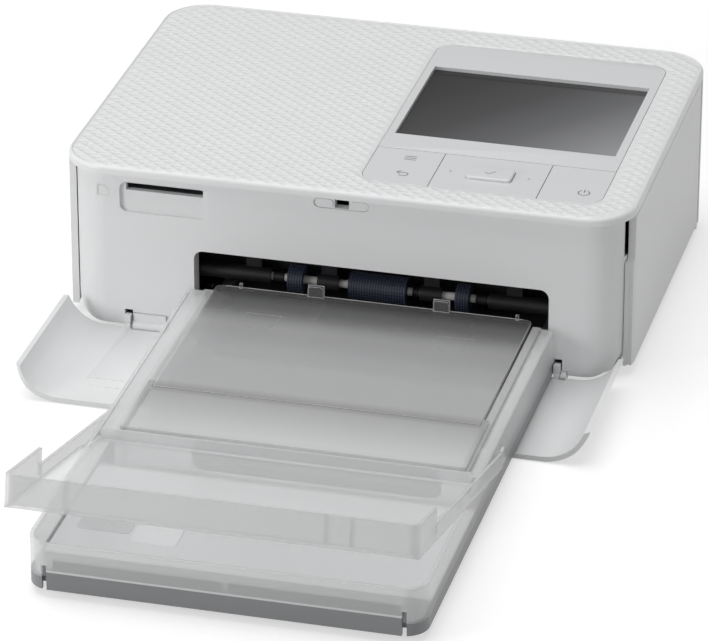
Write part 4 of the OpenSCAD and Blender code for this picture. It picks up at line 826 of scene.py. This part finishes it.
def sleeves(bm):
    """Dark bearing sleeves on the feed shaft, with chamfered ends."""
    turns = [2 * math.pi * k / ROUND_STEPS for k in range(ROUND_STEPS)]
    for x0, x1 in SLEEVES:
        section = ((x0, BORE_R), (x0, END_R), (x0 + CHAMFER, SLEEVE_R),
                   (x1 - CHAMFER, SLEEVE_R), (x1, END_R), (x1, BORE_R))
        rings = [[bm.verts.new((x * MM, SHAFT_Y + r * MM * math.cos(t),
                                SHAFT_Z + r * MM * math.sin(t))) for t in turns]
                 for x, r in section]
        for one, other in zip(rings, rings[1:] + rings[:1]):
            ring_faces(bm, one, other)


relief("shaft_sleeves", "body", "black", sleeves)


def block(bm, x0, x1, y0, y1, z0, z1):
    """A box between two corners given in mm from the middle of the front lip."""
    low, high = at(x0, y0, z0), at(x1, y1, z1)
    for vertex in bmesh.ops.create_cube(bm, size=1)["verts"]:
        vertex.co = Vector([low[k] if vertex.co[k] < 0 else high[k] for k in range(3)])


TONGUES = ((-41.2, 8.4), (10.7, 60.7))                   # x, with a gap at the rib
TONGUE_Y, TONGUE_Z = (-165.6, -165.2), (9.55, 12.0)


def pan_tongue(bm):
    """The pan's tongue, which stands in the tray's front wall and shows through it."""
    for ends in TONGUES:
        block(bm, *ends, *TONGUE_Y, *TONGUE_Z)


relief("pan_tongue", "cassette", "tongue", pan_tongue)

TRAY_FLOOR = 7.0                      # height of the tray's floor
PAD_RISE = 0.12
# name, material, x range, y range and corner radius of each low pad on that floor, in mm
PADS = (("tray_pad_pale", "pale_pad", (-26.0, -12.3), (-140.6, -130.0), 0.6),
        ("tray_pad_grey", "grey_pad", (-43.5, -27.2), (-136.6, -129.4), 1.8))


def pad(bm, x_range, y_range, r):
    """A low pad with round corners on the tray's floor."""
    (x0, x1), (y0, y1) = x_range, y_range
    corners = ((x1 - r, y1 - r, 0), (x0 + r, y1 - r, 90),
               (x0 + r, y0 + r, 180), (x1 - r, y0 + r, 270))
    outline = [point for cx, cy, start in corners for point in arc(cx, cy, r, start, start + 90, 6)]
    low, high = [[bm.verts.new(at(x, y, z)) for x, y in outline]
                 for z in (TRAY_FLOOR, TRAY_FLOOR + PAD_RISE)]
    bm.faces.new(high)
    bm.faces.new(low[::-1])
    ring_faces(bm, low, high)


for name, look, x_range, y_range, corner_r in PADS:
    relief(name, "cassette", look, lambda bm: pad(bm, x_range, y_range, corner_r))

STACK_HINGE = (-72.0, 12.6)           # y and z of the stacker's hinge, in mm
STACK_TILT = math.radians(14)
STACK_REACH = 109.85                  # from that hinge to the stacker's front wall
STACK_RIBS = (-32.8, 42.6, 50.1)      # x of the ribs in that wall
RIB_SPAN = (-2.2, 5.3)                # from the rib's foot to its head, square to the floor


def rib_lines(bm):
    """The three ribs of the stacker's front wall, seen in its thickness."""
    cos, sin = math.cos(STACK_TILT), math.sin(STACK_TILT)
    for x in STACK_RIBS:
        foot, head = [at(x, STACK_HINGE[0] - STACK_REACH * cos + z * sin,
                         STACK_HINGE[1] + STACK_REACH * sin + z * cos) for z in RIB_SPAN]
        bar(bm, foot, head, Vector((0.2 * MM, 0, 0)), Vector((0, 0.1 * MM, 0)))


relief("stacker_rib_lines", "stacker", "grey_pad", rib_lines)

LIP_INNER, LIP_OUTER = 26.35, 26.85   # radii of the lip round the hinge, clear of the bridge
LIP_X = (-47.2, 65.6)
LIP_START, LIP_TURN, LIP_STEPS = 6.5, 8.7, 8


def stacker_lip(bm):
    """The rear end of the stacker's floor curls up in front of the tray's bridge."""
    turns = [math.radians(LIP_START + LIP_TURN * k / LIP_STEPS) for k in range(LIP_STEPS + 1)]
    section = [(LIP_INNER, t) for t in turns] + [(LIP_OUTER, t) for t in reversed(turns)]
    hinge_y, hinge_z = STACK_HINGE
    rings = [[bm.verts.new(at(x, hinge_y - r * math.cos(t), hinge_z + r * math.sin(t)))
              for r, t in section] for x in LIP_X]
    ring_faces(bm, *rings)
    count = len(section)
    for k in range(LIP_STEPS):
        for ring in rings:
            bm.faces.new((ring[k], ring[k + 1], ring[count - 2 - k], ring[count - 1 - k]))


relief("stacker_lip", "stacker", "lip", stacker_lip)

FASCIA_Y = 2.5                        # y of the fascia's face, in mm
# x and z of the corners of a card, in mm
CARD = ((-78.9, 46.5), (-78.9, 49.7), (-76.4, 49.7), (-75.3, 48.7), (-75.3, 46.5), (-78.9, 46.5))


def card_mark(bm):
    """Outline of a card with one corner cut off, beside the card slot."""
    points = [at(x, FASCIA_Y, z) for x, z in CARD]
    path_of_bars(bm, points, 0.3 * MM, 0.08 * MM, Vector((0, -1, 0)))


relief("card_mark", "body", "shell", card_mark)

# ---------- floor, light and camera ----------

FLOOR_GREY = 0.55
FLOOR_GLOW = 0.55                     # added for the camera, so that the floor reads as white
WORLD_LIGHT = 0.24
# name, place, aim, size (m) and power (W) of each lamp
LAMPS = (("overhead", (-0.3, 0.1, 1.7), (0, 0, 0), (1.6, 1.6), 20.0),
         ("near_left", (-0.60, -0.50, 0.24), (-0.02, 0.02, 0.02), (0.35, 0.3), 2.6),
         ("near_right", (0.50, -0.65, 0.22), (0.03, -0.02, 0.02), (0.5, 0.3), 0.40),
         ("far_right", (1.4, 0.0, 0.7), (0, 0, 0), (0.9, 0.9), 2.2))


def floor_material():
    """A pale floor that keeps shadows and looks white to the camera and in reflections."""
    mat, tree, shader, add = nodes_of("studio_floor")
    shader.inputs["Base Color"].default_value = (FLOOR_GREY, FLOOR_GREY, FLOOR_GREY, 1)
    shader.inputs["Roughness"].default_value = 0.9
    shader.inputs["Specular IOR Level"].default_value = 0.0
    rays = add("ShaderNodeLightPath").outputs
    seen = larger(tree, add, rays["Is Camera Ray"], rays["Is Glossy Ray"])
    seen = larger(tree, add, seen, rays["Is Transmission Ray"])
    level = add("ShaderNodeMath", operation="MULTIPLY")
    level.inputs[1].default_value = FLOOR_GLOW
    tree.links.new(seen, level.inputs[0])
    glow = add("ShaderNodeEmission")
    tree.links.new(level.outputs[0], glow.inputs["Strength"])
    both = add("ShaderNodeAddShader")
    tree.links.new(shader.outputs[0], both.inputs[0])
    tree.links.new(glow.outputs[0], both.inputs[1])
    tree.links.new(both.outputs[0], tree.nodes["Material Output"].inputs["Surface"])
    return mat


def make_floor():
    bpy.ops.mesh.primitive_plane_add(size=12, location=(0, 0, 0))
    floor = bpy.context.object
    floor.name = "studio_floor"
    floor.data.materials.append(floor_material())


def make_world(strength):
    """White all round: at full strength for the camera, and at the given one for the object."""
    world = bpy.data.worlds.new("studio")
    bpy.context.scene.world = world
    world.use_nodes = True
    tree = world.node_tree
    add = adder(tree)
    background = tree.nodes["Background"]
    seen = add("ShaderNodeLightPath").outputs["Is Camera Ray"]
    tree.links.new(ranged(tree, add, seen, 0, 1, strength, 1), background.inputs["Strength"])
    background.inputs["Color"].default_value = (1, 1, 1, 1)


def area_light(name, place, aim, size, power):
    data = bpy.data.lights.new(name, "AREA")
    data.energy = power
    data.shape = "RECTANGLE"
    data.size, data.size_y = size
    lamp = bpy.data.objects.new(name, data)
    bpy.context.scene.collection.objects.link(lamp)
    lamp.location = place
    lamp.rotation_euler = (Vector(aim) - Vector(place)).to_track_quat("-Z", "Y").to_euler()


make_floor()
make_world(WORLD_LIGHT)
for lamp_settings in LAMPS:
    area_light(*lamp_settings)

# fitted to the photograph's corners
CAMERA_AZIMUTH = math.radians(14.496)
CAMERA_ELEVATION = math.radians(26.70)
CAMERA_REACH = 1516.15 * MM
CAMERA_LENS, CAMERA_SENSOR = 252.5, 36
AIM = at(11.748, -27.036, 28.0)


def make_camera():
    back = Vector((math.sin(CAMERA_AZIMUTH) * math.cos(CAMERA_ELEVATION),
                   -math.cos(CAMERA_AZIMUTH) * math.cos(CAMERA_ELEVATION),
                   math.sin(CAMERA_ELEVATION)))
    data = bpy.data.cameras.new("camera")
    data.lens = CAMERA_LENS
    data.sensor_width = CAMERA_SENSOR
    data.clip_start = 0.05
    camera = bpy.data.objects.new("camera", data)
    bpy.context.scene.collection.objects.link(camera)
    camera.location = AIM + back * CAMERA_REACH
    camera.rotation_euler = (-back).to_track_quat("-Z", "Y").to_euler()
    bpy.context.scene.camera = camera


make_camera()
bpy.context.scene.view_settings.view_transform = "Standard"
